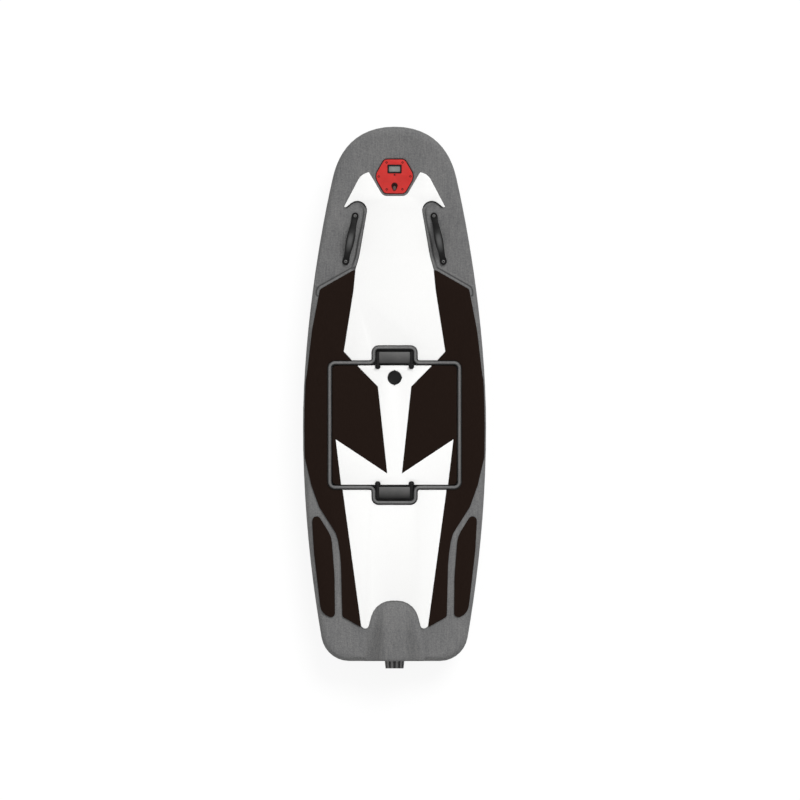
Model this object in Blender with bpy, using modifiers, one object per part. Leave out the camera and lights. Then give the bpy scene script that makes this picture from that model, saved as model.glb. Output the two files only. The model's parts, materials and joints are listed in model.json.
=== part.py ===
"""Motorized surfboard: a moulded jet-drive board with deck pads, a lift-off battery hatch
held by two lever latches, rubber grab handles, a nose instrument panel and a stern pump.
The bow points to +Y, the deck faces +Z and the board lies on the floor at zero height."""
import math

import bmesh
import bpy
from mathutils import Matrix, Vector

# Fits
GAP = 0.0003
MOVING_GAP = 0.005
OVERRUN = 0.010
WELD = 0.00001

# Hull
BOARD_LENGTH = 1.748
BOARD_HALF_WIDTH = 0.2997
HULL_DEPTH = 0.150
DECK_RISE = 0.030
DECK_RISE_LENGTH = 0.636
DECK_RISE_POWER = 2
ROCKER = 0.078
ROCKER_LENGTH = 0.686
ROCKER_POWER = 2.2
DECK_EDGE_RADIUS = 0.022
WALL_LEAN = 0.014
CHINE_RADIUS = 0.036
STRAKE_DEPTH = 0.006
STRAKE_WIDTH = 0.024
STRAKE_OFFSET = 0.150
STRAKE_FRONT_FROM_BOW = 0.766
STRAKE_BACK_FROM_STERN = 0.102

# Hull outline: curves from the bow to the stern corner, as shares of half width and length
OUTLINE_SHARES = (
    ((0.0, 0.0), (0.433, 0.0), (0.611, 0.048), (0.673, 0.094)),
    ((0.673, 0.094), (0.822, 0.205), (1.0, 0.391), (1.0, 0.562)),
    ((1.0, 0.562), (1.0, 0.708), (0.910, 0.845), (0.798, 0.956)),
    ((0.798, 0.956), (0.7725, 0.981), (0.648, 1.0), (0.494, 1.0)),
)
OUTLINE_STEPS = (12, 14, 10, 7)
ARC_STEPS = 3
ROUND_STEPS = 32
CORNER_STEP = math.radians(18)

# Stern fairing over the pump
HUMP_LENGTH = 0.198
HUMP_NOSE = 0.074
HUMP_NOSE_HALF_WIDTH = 0.080
HUMP_STERN_HALF_WIDTH = 0.098
HUMP_HEIGHT = 0.040
HUMP_STATIONS = 9
HUMP_SIDES = 12
HUMP_SQUARENESS = 2.6
HUMP_SPACING_POWER = 1.4

# Deck pads
PAD_THICKNESS = 0.005
PAD_MARGIN = 0.0044
PAD_JOINT = 0.0008
SHARPEST_MITRE_SHARE = 0.3
FORE_PAD_SHARES = (
    (0.1268, 0.1298), (0.2790, 0.0850), (0.368, 0.0895), (0.556, 0.1510),
    (0.530, 0.1515), (0.2564, 0.1130), (0.389, 0.2440), (0.4277, 0.2667),
    (0.4495, 0.3059), (0.5554, 0.4211), (0.402, 0.4500),
)
FORE_PAD_RADII = (0.022, 0.005, 0.045, 0.003, 0.006, 0.031, 0.100, 0.004, 0.150, 0.003, 0.0)
SIDE_PAD_SHARES = (
    (0.402, 0.4500), (0.5554, 0.4211), (0.4495, 0.3059), (0.4277, 0.2667),
    (0.466, 0.2700), (0.815, 0.3040), (0.9018, 0.3806), (0.966, 0.4740),
    (1.05, 0.5200), (1.05, 0.5704), (0.8489, 0.7141), (0.6290, 0.7607),
    (0.5873, 0.8101), (0.5717, 0.9170), (0.3640, 0.9370), (0.5685, 0.6791),
    (0.600, 0.6400),
)
SIDE_PAD_RADII = (
    0.0, 0.003, 0.150, 0.004, 0.030, 0.012, 0.200, 0.200,
    0.0, 0.0, 0.340, 0.100, 0.300, 0.012, 0.003, 0.0,
    0.0,
)
AFT_PAD_SHARES = ((0.600, 0.6400), (0.3660, 0.9350))
AFT_PAD_RADII = (0.0, 0.010)
AFT_PAD_HORN = 0.0087
AFT_PAD_HORN_FROM_STERN = 0.097
AFT_PAD_HORN_RADIUS = 0.012
AFT_PAD_THROAT_INSET = 0.0171
AFT_PAD_THROAT_LAP = 0.0008
AFT_PAD_THROAT_RADIUS = 0.070
REAR_PAD_SHARES = (
    (0.8992, 0.7080), (0.8992, 0.7702), (0.803, 0.9120), (0.648, 0.9215),
    (0.6523, 0.8415), (0.6867, 0.7667),
)
REAR_PAD_RADII = (0.0146, 0.800, 0.045, 0.014, 0.400, 0.082)

# Handle recesses in the shoulders
RECESS_SHARES = (
    (0.3088, 0.1289), (0.4266, 0.2490), (0.482, 0.2615), (0.829, 0.2965),
    (1.10, 0.3050), (1.10, 0.1000), (0.700, 0.1200),
)
RECESS_RADII = (0.020, 0.080, 0.020, 0.0, 0.0, 0.0, 0.0)
RECESS_DEPTH = 0.009
RECESS_DEEP_SHARE = 0.2700
RECESS_FADE_SHARE = 0.1350

# Grab handles
HANDLE_SCREW_SHARES = ((0.4299, 0.1671), (0.5325, 0.2524))
HANDLE_LUG_RADIUS = 0.0118
HANDLE_NECK_HALF_WIDTH = 0.0098
HANDLE_GRIP_HALF_WIDTH = 0.0143
HANDLE_LUG_THICKNESS = 0.007
HANDLE_GRIP_THICKNESS = 0.009
HANDLE_RISE = 0.030
HANDLE_NECK_SHARE = 0.78
HANDLE_STATIONS = 20
HANDLE_EDGE_SHARE = 0.55
HANDLE_CLIMB_SHARE = 0.88
HANDLE_CLIMB_POWER = 1.5
HANDLE_BLUNT_SHARE = 0.25

# Instrument panel on the nose
PANEL_CENTRE_SHARE = 0.0932
PANEL_FLAT_HALF_WIDTH = 0.0329
PANEL_HALF_WIDTH = 0.0648
PANEL_HALF_LENGTH = 0.0552
PANEL_CORNER_RADIUS = 0.0155
PANEL_SIDE_RADIUS = 0.033
PANEL_SIDE_LEAN = math.radians(30)
PANEL_THICKNESS = 0.005
PANEL_GASKET_THICKNESS = 0.0015
PANEL_GASKET_RIM = 0.0028
PANEL_POCKET_DEPTH = 0.004
SCREEN_OFFSET = 0.0245
BEZEL_HALF_WIDTH = 0.0229
BEZEL_HALF_LENGTH = 0.0138
BEZEL_WALL = 0.0040
BEZEL_PROUD = 0.0015
BEZEL_CORNER = 0.003
SCREEN_SINK = 0.001
INDICATOR_OFFSET = 0.0050
INDICATOR_RADIUS = 0.0025
KEY_OFFSET = -0.0335
KEY_RADIUS = 0.0100
KEY_POINT = 0.0165
KEY_POINT_RADIUS = 0.006
KEY_PROUD = 0.0020
KEY_SLOT_RADIUS = 0.0062
KEY_SLOT_DEPTH = 0.0045

# Hatch opening, with a pocket for a latch at each end
HATCH_CENTRE_SHARE = 0.5586
OPENING_HALF_WIDTH = 0.2095
OPENING_HALF_LENGTH = 0.2010
OPENING_CORNER = 0.015
POCKET_HALF_WIDTH = 0.0650
POCKET_REACH = 0.0495
POCKET_CORNER = 0.013
POCKET_ROOT = 0.0165
POCKET_DEPTH = 0.026
COAMING_WIDTH = 0.0095
COAMING_HEIGHT = 0.0105
COAMING_ROUND = 0.0028
LID_THICKNESS = 0.014
LEDGE_WIDTH = 0.026
GASKET_THICKNESS = 0.004
GASKET_WIDTH = 0.012
GASKET_INSET = 0.007

# Hatch pads: the white one is a W, the black ones fill the sides, in shares of the lid's half sizes
HATCH_PAD_SHARES = (
    (0.5891, 1.12), (0.5891, 0.9805), (0.2697, 0.6425),
    (0.1194, -0.8032), (0.9435, -0.2324), (0.8436, -1.12),
)
HATCH_PAD_END_SHARE = 1.12

# Vent plug on the lid
PLUG_INSET = 0.0408
PLUG_RADIUS = 0.0222
PLUG_RIM_WIDTH = 0.004
PLUG_PROUD = 0.002
PLUG_DISH = 0.0015
PLUG_BAR_HALF_WIDTH = 0.003

# Lever latches
PIVOT_INSET = 0.0045
PIVOT_HEIGHT = 0.0095
PIN_RADIUS = 0.0022
PIN_CLEARANCE = 0.0004
ARM_OFFSET = 0.0550
ARM_WIDTH = 0.0080
ARM_BOSS_RADIUS = 0.0056
ARM_REACH = 0.0498
ARM_TIP_HALF_HEIGHT = 0.0042
ARM_ROUND_SHARE = 0.98
BRACKET_WIDTH = 0.0145
BRACKET_CLEARANCE = 0.0005
BRACKET_RADIUS = 0.0064
BRACKET_NOSE = 0.0055
BRACKET_TOP = 0.0060
LEVER_START = 0.0105
LEVER_LENGTH = 0.0375
LEVER_THICKNESS = 0.0035
LEVER_CROWN = 0.0030
LEVER_LIP = 0.0090
LEVER_DROP = 0.0010
LEVER_STEPS = 4
NOTCH_CLEARANCE = 0.0012

# Battery bay and battery
BAY_FLOOR = 0.016
BATTERY_SIDE_ROOM = 0.0135
BATTERY_FRONT_ROOM = 0.017
BATTERY_LEAD_ROOM = 0.055
BATTERY_HEIGHT = 0.092
BATTERY_EDGE = 0.006
STRAP_HALF_SPAN = 0.060
STRAP_HALF_WIDTH = 0.012
STRAP_THICKNESS = 0.004
STRAP_RISE = 0.014
STRAP_STATIONS = 12
CONNECTOR_RADIUS = 0.014
CONNECTOR_HEIGHT = 0.016
CONNECTOR_FROM_SIDE = 0.060
CONNECTOR_FROM_BACK = 0.040

# Motor in its own room behind the bay, on the pump's shaft line
SHAFT_HEIGHT = 0.076
SHAFT_RADIUS = 0.006
SHAFT_CLEARANCE = 0.0004
MOTOR_RADIUS = 0.046
MOTOR_ROOM_RADIUS = 0.050
MOTOR_FROM_BAY = 0.0195
MOTOR_LENGTH = 0.135
MOTOR_EDGE = 0.004
BULKHEAD = 0.006

# Jet pump
DUCT_RADIUS = 0.047
DUCT_WALL = 0.006
DUCT_FRONT_FROM_STERN = 0.217
DUCT_BACK_FROM_STERN = 0.086
INTAKE_FRONT_FROM_STERN = 0.422
INTAKE_BACK_FROM_STERN = 0.240
INTAKE_HALF_WIDTH = 0.046
GRATE_RIM = 0.010
GRATE_THICKNESS = 0.005
GRATE_SLOT_WIDTH = 0.011
GRATE_SLOTS = 5
GRATE_SLOT_ROUND_SHARE = 0.9
RIDE_PLATE_HALF_WIDTH = 0.074
RIDE_PLATE_LENGTH = 0.214
RIDE_PLATE_THICKNESS = 0.004
RIDE_PLATE_CORNER = 0.012
IMPELLER_RADIUS = 0.042
IMPELLER_HUB_RADIUS = 0.016
IMPELLER_FROM_DUCT = 0.017
IMPELLER_LENGTH = 0.052
IMPELLER_BLADES = 4
IMPELLER_TWIST = math.radians(58)
IMPELLER_BLADE_SHARE = 0.85
STATOR_FROM_IMPELLER = 0.010
STATOR_LENGTH = 0.046
STATOR_VANES = 6
STATOR_TWIST = math.radians(-26)
STATOR_BLADE_SHARE = 0.7
STATOR_TIP_SHARE = 1 / 3
BLADE_THICKNESS = 0.0028
BLADE_ROOT = 0.003
BLADE_RINGS = 3
BLADE_STEPS = 4
NOZZLE_REACH = 0.024
NOZZLE_ROOT_RADIUS = 0.0325
NOZZLE_TIP_RADIUS = 0.0300
NOZZLE_BORE_RADIUS = 0.0235
NOZZLE_FLANGE = 0.010
NOZZLE_WALL = 0.0055
NOZZLE_CLEARANCE = 0.0008
TRANSOM_WALL = 0.026
FLUTE_COUNT = 12
FLUTE_WIDTH = 0.0080
FLUTE_DEPTH = 0.0030

# Derived places
BOW = (BOARD_LENGTH + NOZZLE_REACH) / 2
STERN = BOW - BOARD_LENGTH
HATCH_CENTRE = BOW - HATCH_CENTRE_SHARE * BOARD_LENGTH
DECK_RISE_START = BOW - DECK_RISE_LENGTH
ROCKER_START = BOW - ROCKER_LENGTH
STRAKE_FRONT = BOW - STRAKE_FRONT_FROM_BOW
STRAKE_BACK = STERN + STRAKE_BACK_FROM_STERN
HULL_BOTTOM = STRAKE_DEPTH
DECK = HULL_BOTTOM + HULL_DEPTH
LEDGE = DECK - LID_THICKNESS - GASKET_THICKNESS
LID_HALF_WIDTH = OPENING_HALF_WIDTH - MOVING_GAP
LID_HALF_LENGTH = OPENING_HALF_LENGTH - MOVING_GAP
BAY_HALF_WIDTH = OPENING_HALF_WIDTH - LEDGE_WIDTH
BAY_HALF_LENGTH = OPENING_HALF_LENGTH - LEDGE_WIDTH
BAY_BACK = HATCH_CENTRE - BAY_HALF_LENGTH
BATTERY_HALF_WIDTH = BAY_HALF_WIDTH - BATTERY_SIDE_ROOM
BATTERY_FRONT = BAY_HALF_LENGTH - BATTERY_FRONT_ROOM
BATTERY_BACK = BAY_HALF_LENGTH - BATTERY_LEAD_ROOM
PAD_LOW = GAP
PAD_HIGH = GAP + PAD_THICKNESS
SKY = DECK + DECK_RISE + HUMP_HEIGHT
MOTOR_FRONT = BAY_BACK - MOTOR_FROM_BAY
MOTOR_BACK = MOTOR_FRONT - MOTOR_LENGTH
INTAKE_FRONT = STERN + INTAKE_FRONT_FROM_STERN
INTAKE_BACK = STERN + INTAKE_BACK_FROM_STERN
DUCT_FRONT = STERN + DUCT_FRONT_FROM_STERN
DUCT_BACK = STERN + DUCT_BACK_FROM_STERN
IMPELLER_FRONT = DUCT_FRONT - IMPELLER_FROM_DUCT
STATOR_FRONT = IMPELLER_FRONT - IMPELLER_LENGTH - STATOR_FROM_IMPELLER
HANDLE_HALF_SPAN = 0.5 * math.hypot(
    (HANDLE_SCREW_SHARES[1][0] - HANDLE_SCREW_SHARES[0][0]) * BOARD_HALF_WIDTH,
    (HANDLE_SCREW_SHARES[1][1] - HANDLE_SCREW_SHARES[0][1]) * BOARD_LENGTH,
)

# Colours, as seen on a screen
SHELL_GREY = (0.45, 0.45, 0.45)
PAD_WHITE = (0.95, 0.95, 0.95)
PAD_BLACK = (0.12, 0.10, 0.09)
RUBBER_BLACK = (0.09, 0.09, 0.09)
PANEL_RED = (0.80, 0.21, 0.22)
SCREEN_GREY = (0.55, 0.56, 0.55)
LEVER_GREY = (0.33, 0.33, 0.33)
PLUG_BLACK = (0.13, 0.13, 0.13)
METAL_GREY = (0.70, 0.71, 0.72)
BATTERY_BLACK = (0.16, 0.16, 0.17)
STRAP_RED = (0.62, 0.12, 0.12)


# Scene housekeeping

def clear_scene():
    for thing in list(bpy.data.objects):
        bpy.data.objects.remove(thing, do_unlink=True)


def new_collection(name):
    collection = bpy.data.collections.new(name)
    bpy.context.scene.collection.children.link(collection)
    return collection


clear_scene()
PARTS = new_collection("motorized_surfboard")
CUTTERS = new_collection("cutters")


def finish(name, screen_colour, roughness, metallic=0.0):
    """A Principled material whose colour is given as it looks on a screen."""
    found = bpy.data.materials.get(name)
    if found:
        return found
    made = bpy.data.materials.new(name)
    made.use_nodes = True
    shader = made.node_tree.nodes["Principled BSDF"]
    linear = [value ** 2.2 for value in screen_colour]
    shader.inputs["Base Color"].default_value = (*linear, 1.0)
    shader.inputs["Roughness"].default_value = roughness
    shader.inputs["Metallic"].default_value = metallic
    return made


def shell_grey():
    return finish("shell_grey", SHELL_GREY, 0.62)


def pad_white():
    return finish("pad_white", PAD_WHITE, 0.85)


def pad_black():
    return finish("pad_black", PAD_BLACK, 0.85)


def rubber_black():
    return finish("rubber_black", RUBBER_BLACK, 0.55)


def panel_red():
    return finish("panel_red", PANEL_RED, 0.30)


def screen_grey():
    return finish("screen_grey", SCREEN_GREY, 0.15)


def lever_grey():
    return finish("lever_grey", LEVER_GREY, 0.45)


def plug_black():
    return finish("plug_black", PLUG_BLACK, 0.50)


def metal_grey():
    return finish("metal_grey", METAL_GREY, 0.30, 1.0)


def battery_black():
    return finish("battery_black", BATTERY_BLACK, 0.50)


def strap_red():
    return finish("strap_red", STRAP_RED, 0.75)


def place(name, mesh, material=None, parent=None, smooth_angle=None):
    """An object in the parts collection, or a hidden cutter where no material is given."""
    thing = bpy.data.objects.new(name, mesh)
    if material:
        PARTS.objects.link(thing)
        mesh.materials.append(material)
    else:
        CUTTERS.objects.link(thing)
        thing.hide_render = True
        thing.display_type = "WIRE"
    if parent:
        thing.parent = parent
    if smooth_angle:
        mesh.shade_smooth()
        mesh.set_sharp_from_angle(angle=smooth_angle)
    return thing


def axis_empty(name, location):
    empty = bpy.data.objects.new(name, None)
    PARTS.objects.link(empty)
    empty.location = location
    return empty


def cut(thing, *tools):
    for tool in tools:
        modifier = thing.modifiers.new("cut " + tool.name, "BOOLEAN")
        modifier.operation = "DIFFERENCE"
        modifier.object = tool


def fuse(thing, *tools):
    for tool in tools:
        modifier = thing.modifiers.new("fuse " + tool.name, "BOOLEAN")
        modifier.operation = "UNION"
        modifier.object = tool


def keep_inside(thing, tool):
    modifier = thing.modifiers.new("keep " + tool.name, "BOOLEAN")
    modifier.operation = "INTERSECT"
    modifier.object = tool


# Outlines

def rounded(corners):
    """A closed outline from corners with radii: (x, y, radius), each limited by its sides."""
    count = len(corners)
    places = [Vector((x, y)) for x, y, radius in corners]
    sides = [places[(i + 1) % count] - places[i] for i in range(count)]
    turns = [sides[i - 1].angle_signed(sides[i]) for i in range(count)]
    reaches = [corners[i][2] * math.tan(abs(turns[i]) / 2) for i in range(count)]
    room = [min(1.0, sides[i].length / max(reaches[i] + reaches[(i + 1) % count], GAP))
            for i in range(count)]
    points = []
    for i, here in enumerate(places):
        reach = reaches[i] * min(room[i - 1], room[i])
        if not reach:
            points.append(here)
            continue
        radius = reach / math.tan(abs(turns[i]) / 2)
        back = -sides[i - 1].normalized()
        ahead = sides[i].normalized()
        centre = here + (back + ahead).normalized() * math.hypot(reach, radius)
        start = here + back * reach - centre
        steps = max(1, math.ceil(abs(turns[i]) / CORNER_STEP))
        for step in range(steps + 1):
            points.append(centre + Matrix.Rotation(-turns[i] * step / steps, 2) @ start)
    return [point for i, point in enumerate(points) if (point - points[i - 1]).length > WELD]


def both_sides(half):
    """Corners of a half outline on +X, closed over the centreline."""
    return list(half) + [(-x, y, radius) for x, y, radius in reversed(half)]


def on_board(shares, radii, side=1):
    """Corners given as shares of the half width and of the length from the bow."""
    return [
        (side * across * BOARD_HALF_WIDTH, BOW - along * BOARD_LENGTH, radius)
        for (across, along), radius in zip(shares, radii)
    ]


def box_corners(half_width, low, high, radius=0.0):
    return [
        (half_width, low, radius), (half_width, high, radius),
        (-half_width, high, radius), (-half_width, low, radius),
    ]


def circle(radius, steps=ROUND_STEPS, x=0.0, y=0.0):
    turns = [2 * math.pi * step / steps for step in range(steps)]
    return [Vector((x + radius * math.cos(turn), y + radius * math.sin(turn))) for turn in turns]


# Solids

def plate_mesh(name, loops, low, high, round_off=0.0):
    """A flat plate between two heights, from an outline and any holes, as a welded mesh."""
    curve = bpy.data.curves.new(name, "CURVE")
    curve.dimensions = "2D"
    curve.fill_mode = "BOTH"
    curve.extrude = (high - low) / 2 - round_off
    curve.bevel_depth = round_off
    curve.offset = -round_off
    curve.bevel_resolution = 1
    for loop in loops:
        spline = curve.splines.new("POLY")
        spline.points.add(len(loop) - 1)
        for point, (x, y) in zip(spline.points, loop):
            point.co = (x, y, 0.0, 1.0)
        spline.use_cyclic_u = True
    thing = bpy.data.objects.new(name, curve)
    CUTTERS.objects.link(thing)
    bpy.context.view_layer.update()
    evaluated = thing.evaluated_get(bpy.context.evaluated_depsgraph_get())
    mesh = bpy.data.meshes.new_from_object(evaluated)
    bpy.data.objects.remove(thing)
    bpy.data.curves.remove(curve)
    mesh.name = name
    welded = bmesh.new()
    welded.from_mesh(mesh)
    bmesh.ops.remove_doubles(welded, verts=welded.verts, dist=WELD)
    bmesh.ops.translate(welded, verts=welded.verts, vec=(0.0, 0.0, (low + high) / 2))
    bmesh.ops.recalc_face_normals(welded, faces=welded.faces)
    welded.to_mesh(mesh)
    welded.free()
    mesh.materials.clear()
    return mesh


def upright_mesh(name, loops, low, high):
    """A plate whose outline lies in the YZ plane, between two places along X."""
    mesh = plate_mesh(name, loops, low, high)
    mesh.transform(Matrix(((0, 0, 1, 0), (1, 0, 0, 0), (0, 1, 0, 0), (0, 0, 0, 1))))
    return mesh


def box_mesh(name, low, high):
    mesh = bpy.data.meshes.new(name)
    shape = bmesh.new()
    bmesh.ops.create_cube(shape, size=1.0)
    size = [b - a for a, b in zip(low, high)]
    middle = [(a + b) / 2 for a, b in zip(low, high)]
    bmesh.ops.scale(shape, verts=shape.verts, vec=size)
    bmesh.ops.translate(shape, verts=shape.verts, vec=middle)
    shape.to_mesh(mesh)
    shape.free()
    return mesh


def rod_mesh(name, radius, front, back, steps=ROUND_STEPS, height=SHAFT_HEIGHT):
    """A cylinder along Y, on the shaft line unless another height is given."""
    mesh = bpy.data.meshes.new(name)
    shape = bmesh.new()
    bmesh.ops.create_cone(
        shape, cap_ends=True, segments=steps, radius1=radius, radius2=radius, depth=front - back)
    bmesh.ops.rotate(shape, verts=shape.verts, matrix=Matrix.Rotation(math.pi / 2, 3, "X"))
    bmesh.ops.translate(shape, verts=shape.verts, vec=(0.0, (front + back) / 2, height))
    shape.to_mesh(mesh)
    shape.free()
    return mesh


def skinned_mesh(name, sections):
    """A closed solid through sections of equal count, with flat ends."""
    mesh = bpy.data.meshes.new(name)
    shape = bmesh.new()
    rings = [[shape.verts.new(point) for point in section] for section in sections]
    count = len(rings[0])
    for ring, following in zip(rings, rings[1:]):
        for i in range(count):
            j = (i + 1) % count
            shape.faces.new((ring[i], ring[j], following[j], following[i]))
    shape.faces.new(reversed(rings[0]))
    shape.faces.new(rings[-1])
    bmesh.ops.recalc_face_normals(shape, faces=shape.faces)
    shape.to_mesh(mesh)
    shape.free()
    return mesh


def turned(name, profile, material, parent=None):
    """A turned solid about the local Z axis, its profile running down the outer side."""
    mesh = bpy.data.meshes.new(name)
    closed = profile[0][0] > 0 or profile[-1][0] > 0
    edges = [(i, i + 1) for i in range(len(profile) - 1)]
    if closed:
        edges.append((len(profile) - 1, 0))
    mesh.from_pydata([(radius, 0.0, height) for radius, height in profile], edges, [])
    thing = place(name, mesh, material, parent)
    screw = thing.modifiers.new("turn", "SCREW")
    screw.axis = "Z"
    screw.steps = ROUND_STEPS
    screw.render_steps = ROUND_STEPS
    screw.use_merge_vertices = True
    screw.merge_threshold = WELD
    return thing


# Hull form

def outline_run():
    """Starboard outline from the bow to the stern, each point with its outward normal."""
    run = []
    for segment, steps in zip(OUTLINE_SHARES, OUTLINE_STEPS):
        a, b, c, d = [Vector((x * BOARD_HALF_WIDTH, BOW - y * BOARD_LENGTH)) for x, y in segment]
        for step in range(steps + (segment is OUTLINE_SHARES[-1])):
            t = step / steps
            s = 1 - t
            point = a * s ** 3 + b * 3 * s * s * t + c * 3 * s * t * t + d * t ** 3
            heading = (b - a) * s * s + (c - b) * 2 * s * t + (d - c) * t * t
            run.append((point, Vector((-heading.y, heading.x)).normalized()))
    return run


def deck_height(y):
    climb = max(0.0, (y - DECK_RISE_START) / (BOW - DECK_RISE_START))
    return DECK + DECK_RISE * climb ** DECK_RISE_POWER


def bottom_height(y):
    climb = max(0.0, (y - ROCKER_START) / (BOW - ROCKER_START))
    return HULL_BOTTOM + ROCKER * climb ** ROCKER_POWER


def ring_at(inset, drop, surface):
    """Starboard points of the outline moved in by an inset, at a drop below a surface."""
    points = []
    for point, normal in outline_run():
        moved = point - normal * inset
        points.append(Vector((moved.x, moved.y, surface(moved.y) - drop)))
    return points


def ring_solid_mesh(name, rings):
    """A closed solid through starboard rings and their mirror images, banded across its ends."""
    mesh = bpy.data.meshes.new(name)
    shape = bmesh.new()
    loops = []
    for ring in rings:
        starboard = [shape.verts.new(point) for point in ring]
        port = [shape.verts.new((-p.x, p.y, p.z)) for p in ring[1:]]
        loops.append(starboard + port[::-1])
    count = len(loops[0])
    for loop, following in zip(loops, loops[1:]):
        for i in range(count):
            j = (i + 1) % count
            shape.faces.new((loop[i], loop[j], following[j], following[i]))
    for loop in (loops[0], loops[-1]):
        last = len(rings[0]) - 1
        shape.faces.new((loop[0], loop[1], loop[count - 1]))
        for i in range(1, last):
            shape.faces.new((loop[i], loop[i + 1], loop[count - i - 1], loop[count - i]))
    bmesh.ops.recalc_face_normals(shape, faces=shape.faces)
    shape.to_mesh(mesh)
    shape.free()
    return mesh


def edge_rings(offset, last_inset, surface=deck_height):
    """Rings of the deck's rounded edge, moved out by an offset, down to an inset from the side."""
    radius = DECK_EDGE_RADIUS + offset
    last_angle = math.acos(min(1.0, (DECK_EDGE_RADIUS - last_inset) / radius))
    rings = []
    for step in range(ARC_STEPS + 1):
        angle = math.pi / 2 + (last_angle - math.pi / 2) * step / ARC_STEPS
        inset = DECK_EDGE_RADIUS - radius * math.cos(angle)
        drop = DECK_EDGE_RADIUS - radius * math.sin(angle)
        rings.append(ring_at(inset, drop, surface))
    return rings


def hull_rings():
    rings = edge_rings(0.0, 0.0)
    for step in range(ARC_STEPS + 1):
        angle = math.pi / 2 * step / ARC_STEPS
        inset = WALL_LEAN + CHINE_RADIUS * (1 - math.cos(angle))
        rise = CHINE_RADIUS * (1 - math.sin(angle))
        rings.append(ring_at(inset, -rise, bottom_height))
    return rings


def hump_mesh():
    """The fairing over the pump: a rounded nose, then sides that widen to the transom."""
    sections = []
    front = STERN + HUMP_LENGTH
    for station in range(1, HUMP_STATIONS + 1):
        along = station / HUMP_STATIONS
        back = HUMP_LENGTH * along ** HUMP_SPACING_POWER
        if back < HUMP_NOSE:
            lag = 1 - back / HUMP_NOSE
            half_width = HUMP_NOSE_HALF_WIDTH * math.sqrt(1 - lag * lag)
        else:
            flare = (back - HUMP_NOSE) / (HUMP_LENGTH - HUMP_NOSE)
            widening = HUMP_STERN_HALF_WIDTH - HUMP_NOSE_HALF_WIDTH
            half_width = HUMP_NOSE_HALF_WIDTH + flare * widening
        height = HUMP_HEIGHT * math.sin(math.pi / 2 * back / HUMP_LENGTH)
        section = [Vector((-half_width, front - back, DECK - OVERRUN))]
        for side in range(HUMP_SIDES + 1):
            sweep = -math.cos(math.pi * side / HUMP_SIDES)
            crown = (1 - abs(sweep) ** HUMP_SQUARENESS) ** (1 / HUMP_SQUARENESS)
            section.append(Vector((half_width * sweep, front - back, DECK + height * crown)))
        section.append(Vector((half_width, front - back, DECK - OVERRUN)))
        sections.append(section)
    return skinned_mesh("hump", sections)


def recess_floor(y):
    """Height of a handle recess's floor, which fades into the deck towards the bow."""
    deep = BOW - RECESS_DEEP_SHARE * BOARD_LENGTH
    fade = BOW - RECESS_FADE_SHARE * BOARD_LENGTH
    deep_height = deck_height(deep) - RECESS_DEPTH
    return deep_height + (deck_height(fade) - deep_height) * (y - deep) / (fade - deep)


def recess_cutter(name, side):
    loop = rounded(on_board(RECESS_SHARES, RECESS_RADII, side))
    mesh = plate_mesh(name, [loop], LEDGE, SKY)
    for vertex in mesh.vertices:
        if vertex.co.z < DECK:
            vertex.co.z = recess_floor(vertex.co.y)
    return place(name, mesh)


def hatch_corners(grow=0.0):
    """Starboard corners of the hatch opening with its two latch pockets, grown outwards."""
    wide = OPENING_HALF_WIDTH + grow
    long = OPENING_HALF_LENGTH + grow
    pocket = POCKET_HALF_WIDTH + grow
    reach = OPENING_HALF_LENGTH + POCKET_REACH + grow
    corner = OPENING_CORNER + grow
    nook = POCKET_CORNER + grow
    root = max(GAP, POCKET_ROOT - grow)
    inner = long + GAP
    half = [
        (pocket, reach, nook), (pocket, inner, root), (wide, long, corner),
        (wide, -long, corner), (pocket, -inner, root), (pocket, -reach, nook),
    ]
    return [(x, y + HATCH_CENTRE, radius) for x, y, radius in half]


def hatch_box(half_width, half_length, corner=0.0):
    low = HATCH_CENTRE - half_length
    return rounded(box_corners(half_width, low, low + 2 * half_length, corner))


def panel_outline(grow=0.0):
    """The six-sided panel with round corners, about its own centre."""
    flat = PANEL_FLAT_HALF_WIDTH + grow * math.tan(PANEL_SIDE_LEAN)
    wide = PANEL_HALF_WIDTH + grow / math.cos(PANEL_SIDE_LEAN)
    long = PANEL_HALF_LENGTH + grow
    corner = PANEL_CORNER_RADIUS + grow
    side = PANEL_SIDE_RADIUS + grow
    half = [(flat, long, corner), (wide, 0.0, side), (flat, -long, corner)]
    return rounded(both_sides(half))


def panel_frame():
    """Where the panel's seat lies: its centre on the deck and the deck's slope there."""
    y = BOW - PANEL_CENTRE_SHARE * BOARD_LENGTH
    slope = math.atan2(deck_height(y + PANEL_HALF_LENGTH) - deck_height(y - PANEL_HALF_LENGTH),
                       2 * PANEL_HALF_LENGTH)
    return Matrix.Translation((0.0, y, deck_height(y))) @ Matrix.Rotation(slope, 4, "X")


def intake_cutter():
    """The ramp from the bottom opening up to the pump's duct."""
    top = SHAFT_HEIGHT + DUCT_RADIUS
    ramp = [
        (INTAKE_FRONT, HULL_BOTTOM - OVERRUN), (INTAKE_FRONT, HULL_BOTTOM),
        (INTAKE_BACK, top), (DUCT_FRONT, top),
        (DUCT_FRONT, SHAFT_HEIGHT - DUCT_RADIUS), (INTAKE_BACK, HULL_BOTTOM),
        (INTAKE_BACK, HULL_BOTTOM - OVERRUN),
    ]
    loop = [Vector(point) for point in ramp]
    return place("intake_cutter", upright_mesh("intake_cutter", [loop],
                                               -INTAKE_HALF_WIDTH, INTAKE_HALF_WIDTH))


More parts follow.
